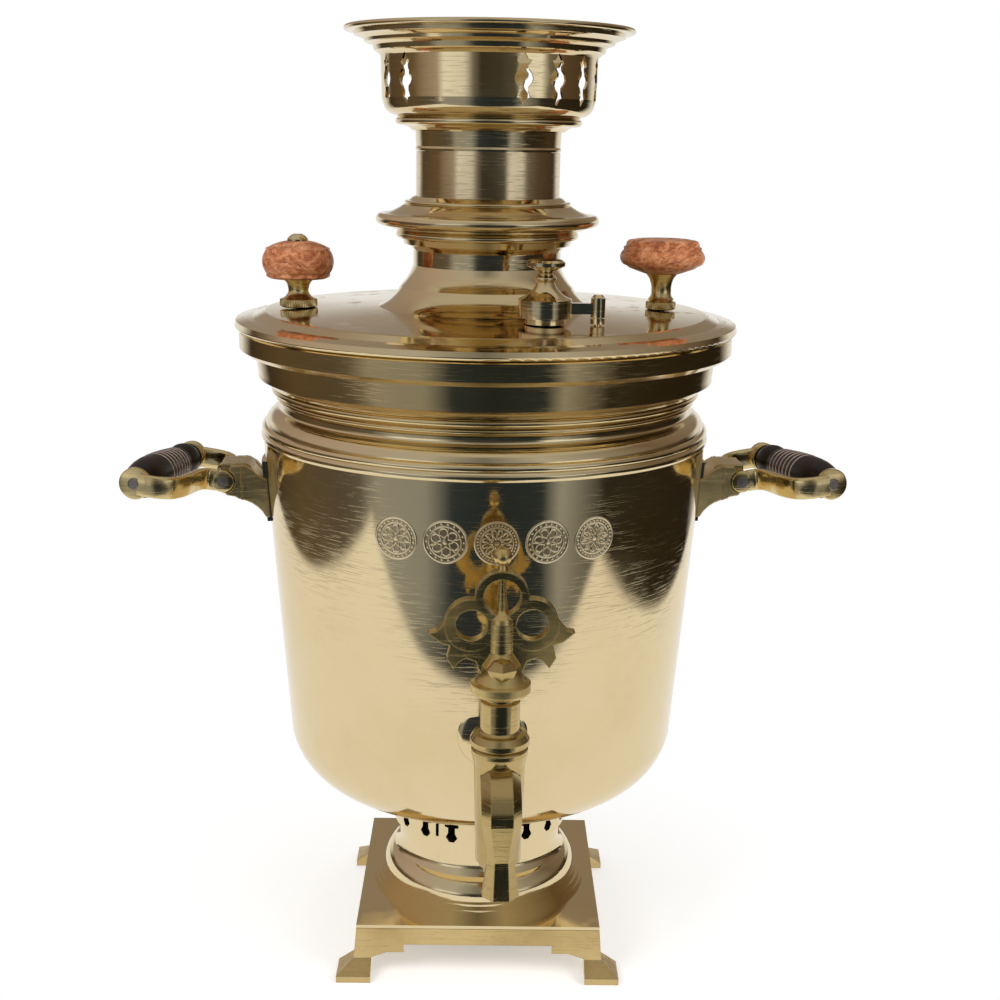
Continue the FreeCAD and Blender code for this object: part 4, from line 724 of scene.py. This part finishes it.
def side_frame(side):
    """From a handle's own millimetres, outward and up, to the row frame."""
    return (Matrix.Translation((side * PIN_PLACE, 0, PIN_HEIGHT))
            @ Matrix.Diagonal((side, 1, 1, 1)))


def swing_frame(side):
    """The same, tilted as the handle rests."""
    return side_frame(side) @ Matrix.Rotation(math.radians(-HANDLE_TILT), 4, "Y")


def along_grip():
    """From the grip's own Z axis, with its origin at the front eye, to the handle."""
    return (Matrix.Translation(EYE)
            @ (REAR - EYE).to_track_quat("Z", "Y").to_matrix().to_4x4())


def disc(radius, low, high, soft):
    """A round plate with rounded edges."""
    return lathe([(0, low), (radius - soft, low), (radius - soft * 0.3, low + soft * 0.3),
                  (radius, low + soft), (radius, high - soft),
                  (radius - soft * 0.3, high - soft * 0.3), (radius - soft, high), (0, high)], 64)


def add_arms(name, side):
    """Bent strap arms of a bail, each with its hinge tongue and its round eye."""
    long = (REAR - EYE).length
    flat = Matrix.Rotation(math.radians(90), 4, "X")
    near = BRACKET_HALF + TONGUE_GAP
    for spot, line, low, tongue in (("front", FRONT_LINE, -STRAP_THICK, near),
                                    ("rear", REAR_LINE, long, -near - STRAP_THICK)):
        bend = strap([(across * MM, along * MM) for across, along in line],
                     STRAP_THICK - 0.2 * MM, STRAP_TALL, 1.0 * MM)
        eye = moved(disc(EYE_RADIUS, low, low + STRAP_THICK, 0.7 * MM), along_grip())
        knuckle = moved(disc(TONGUE_RADIUS, tongue, tongue + STRAP_THICK, 0.5 * MM), flat)
        piece = add_piece("strap_%s_%s" % (spot, name),
                          *moved(joined(bend, eye, knuckle), swing_frame(side)),
                          "strap_brass", name + "_handle", "polished_brass", crease=48)
        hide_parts("arm_%s_%s" % (spot, name))


def grip_profile():
    """The grip's outline in millimetres, with the rows that lie in a scored line."""
    rows = [(place, radius, False) for place, radius in GRIP_BODY]
    last = GRIP_BODY[-1][1]
    for number in range(GROOVE_COUNT):
        place = GROOVE_FIRST + GROOVE_PITCH * number
        radius = last - (last - GRIP_END[0][1]) * ((number + 0.2) / GROOVE_COUNT) ** 1.5
        rows += [(place, radius, False), (place + 0.25, radius - 0.1, True),
                 (place + GROOVE_WIDE / 2, radius - GROOVE_DEEP, True),
                 (place + GROOVE_WIDE - 0.25, radius - 0.1, True),
                 (place + GROOVE_WIDE, radius, False),
                 (place + GROOVE_WIDE + 0.7, radius + 0.12, False)]
    return rows + [(place, radius, False) for place, radius in GRIP_END]


def add_grip(name, side):
    """Dark turned grip: an egg in front, scored lines, and a ball at its rear end."""
    rows = grip_profile()
    steps = 96
    shape = lathe([(radius * MM, place * MM) for place, radius, scored in rows], steps)
    piece = add_piece("turned_grip_" + name, *moved(shape, swing_frame(side) @ along_grip()),
                      "dark_wood", name + "_handle", "dark_wood", crease=60)
    piece.data.materials.append(MATERIALS["pale_line"])
    for row, (before, after) in enumerate(zip(rows, rows[1:])):
        if before[2] or after[2]:
            for step in range(steps):
                piece.data.polygons[row * steps + step].material_index = 1
    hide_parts("grip_" + name)


BLOCK = [(-1.2, -6.9), (6.1, -7.9), (7.8, -9.0), (11.4, -9.9), (14.4, -11.2), (17.2, -13.2),
         (19.6, -15.6), (21.4, -18.6), (23.5, -18.4), (22.2, 0.4), (19.6, 1.4), (17.2, 3.0),
         (15.2, 5.2), (13.4, 7.4), (11.4, 8.4), (-1.2, 8.4)]
CHEEK_TOP = [(4.6, 8.0), (11.2, 8.0)]
CHEEK_RECESS = 6.1
STEP_PLACE = 9.2


def add_bracket(name, side):
    """Bracket: a block round the pin, with a stepped cheek in front and behind."""
    def towards(points):
        return [(-x * MM, z * MM) for x, z in points]
    block = slab(towards(BLOCK), -BRACKET_HALF, BRACKET_HALF, 0.5 * MM)
    recess = [(CHEEK_RECESS * math.sin(math.radians(turn)),
               CHEEK_RECESS * math.cos(math.radians(turn))) for turn in range(28, 176, 12)]
    low = [point for point in BLOCK[1:] if point[0] > 5]
    cheek = recess + [(2.0, -7.2)] + [(x, z + 0.5) if z > 0 else (x, z) for x, z in low]
    cheek = [point for point in cheek if point[1] < 7.9 or point[0] < 5] + CHEEK_TOP[::-1]
    outer = BRACKET_HALF + STRAP_THICK
    parts = [block]
    for near, far in ((-outer, -BRACKET_HALF + 1 * MM), (BRACKET_HALF - 1 * MM, outer)):
        parts.append(slab(towards(cheek), near, far, 0.35 * MM))
    strip = [(STEP_PLACE, -9.4), (STEP_PLACE + 0.9, -9.6), (STEP_PLACE + 0.9, 8.2),
             (STEP_PLACE, 8.2)]
    parts.append(slab(towards(strip), -outer - 0.35 * MM, outer + 0.35 * MM, 0.15 * MM))
    piece = add_piece("cast_bracket_" + name, *moved(joined(*parts), side_frame(side)),
                      "bracket_brass", "samovar", "polished_brass", crease=30)
    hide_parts("bracket_" + name)


def add_handles():
    """Both handles."""
    for name, side in (("left", -1), ("right", 1)):
        add_arms(name, side)
        add_grip(name, side)
        add_bracket(name, side)


# Lid knobs

STEM_BASES = (("left", 9.4), ("right", 7.6))
STEM_SEAT = 5 * MM
STEM_STEPS = 240
KNURL = (48, 0.55 * MM, 0.45 * MM, 3.7 * MM)


def add_knob_stems():
    """Brass stems of the lid knobs, with their knurled rings."""
    for name, base in STEM_BASES:
        low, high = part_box("knob_stem_" + name)
        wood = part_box("knob_grip_" + name)[0].z
        seat = low.z + STEM_SEAT
        tall = (wood - seat) / MM
        profile = [(0, 0), (base - 1.0, 0), (base - 0.6, 0.4), (base, 0.5), (base, 3.6),
                   (base - 0.3, 4.0), (base - 1.8, 4.4), (6.6, 5.2), (5.6, 6.4), (5.1, 7.8),
                   (5.05, tall * 0.62), (5.4, tall * 0.74), (6.2, tall * 0.86),
                   (7.6, tall * 0.96), (8.0, tall), (0, tall)]
        shape = lathe([(radius * MM, height * MM) for radius, height in profile], STEM_STEPS,
                      KNURL)
        middle = (low + high) / 2
        piece = add_piece("knurled_stem_" + name,
                          *moved(shape, Matrix.Translation((middle.x, middle.y, seat))),
                          "strap_brass", "lid", "polished_brass", crease=50)
        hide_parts("knob_stem_" + name)


# Tap

ROSE_RADIUS = 16.5 * MM
ROSE_SINK = 4.5 * MM
ROSE_PROUD = 1.0 * MM
PIPE_HEIGHT = 148 * MM


def add_rose():
    """Domed rose where the tap's pipe meets the wall."""
    wall = wall_radius(PIPE_HEIGHT)
    profile = [(ROSE_RADIUS, -ROSE_SINK), (ROSE_RADIUS, 0.2 * MM), (ROSE_RADIUS * 0.97, 0.7 * MM),
               (ROSE_RADIUS * 0.86, 1.2 * MM), (ROSE_RADIUS * 0.70, 1.7 * MM),
               (ROSE_RADIUS * 0.56, 2.0 * MM), (ROSE_RADIUS * 0.44, 2.2 * MM)]
    place = (Matrix.Translation((0, -wall + ROSE_PROUD, PIPE_HEIGHT))
             @ Matrix.Rotation(math.radians(90), 4, "X"))
    piece = add_piece("domed_rose", *moved(lathe(profile), place), "polished_brass", "samovar",
                      "polished_brass", crease=50)
    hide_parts("tap_rose")


PLUG_PLACE = 150 * MM
BOSS_OUT, BOSS_UP = 8.4 * MM, 8.2 * MM
BOSS = [(0, 9.6), (3.6, 8.4), (6.7, 4.6), (5.6, 1.6), (4.3, 0), (0, -0.4)]


def add_boss():
    """Leaf-shaped boss in front of the key's flange, with a ridge down its middle."""
    foot = Vector((0, -PLUG_PLACE - BOSS_OUT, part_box("tap_key")[0].z + BOSS_UP))
    rim = BOSS + [(-x, z) for x, z in reversed(BOSS[1:-1])]
    back = [foot + Vector((x * MM, 3.6 * MM, z * MM)) for x, z in rim]
    edge = [foot + Vector((x * MM * 0.94, 0.6 * MM, z * MM)) for x, z in rim]
    ridge = [foot + Vector((0, -2.6 * MM, 8.2 * MM)), foot + Vector((0, -3.6 * MM, 4.8 * MM)),
             foot + Vector((0, -2.4 * MM, 0.6 * MM))]
    count = len(rim)
    vertices = back + edge + ridge
    faces = [(step, (step + 1) % count, count + (step + 1) % count, count + step)
             for step in range(count)]
    top, middle, bottom = 2 * count, 2 * count + 1, 2 * count + 2
    chain = [top, top, middle, middle, bottom, bottom, bottom, middle, middle, top]
    for step in range(count):
        after = (step + 1) % count
        one, two = chain[step % len(chain)], chain[after % len(chain)]
        faces.append((count + step, count + after, two) if one == two
                     else (count + step, count + after, two, one))
    faces.append(tuple(range(count)))
    add_piece("key_boss", vertices, faces, "tap_brass", "tap", "key_brass", crease=20)


set_view()
add_camera()
add_world()
add_floor()
for lamp_settings in LAMPS:
    add_lamp(*lamp_settings)
dress_nodes()
add_medals()
add_handles()
add_knob_stems()
add_rose()
add_boss()
add_tank()
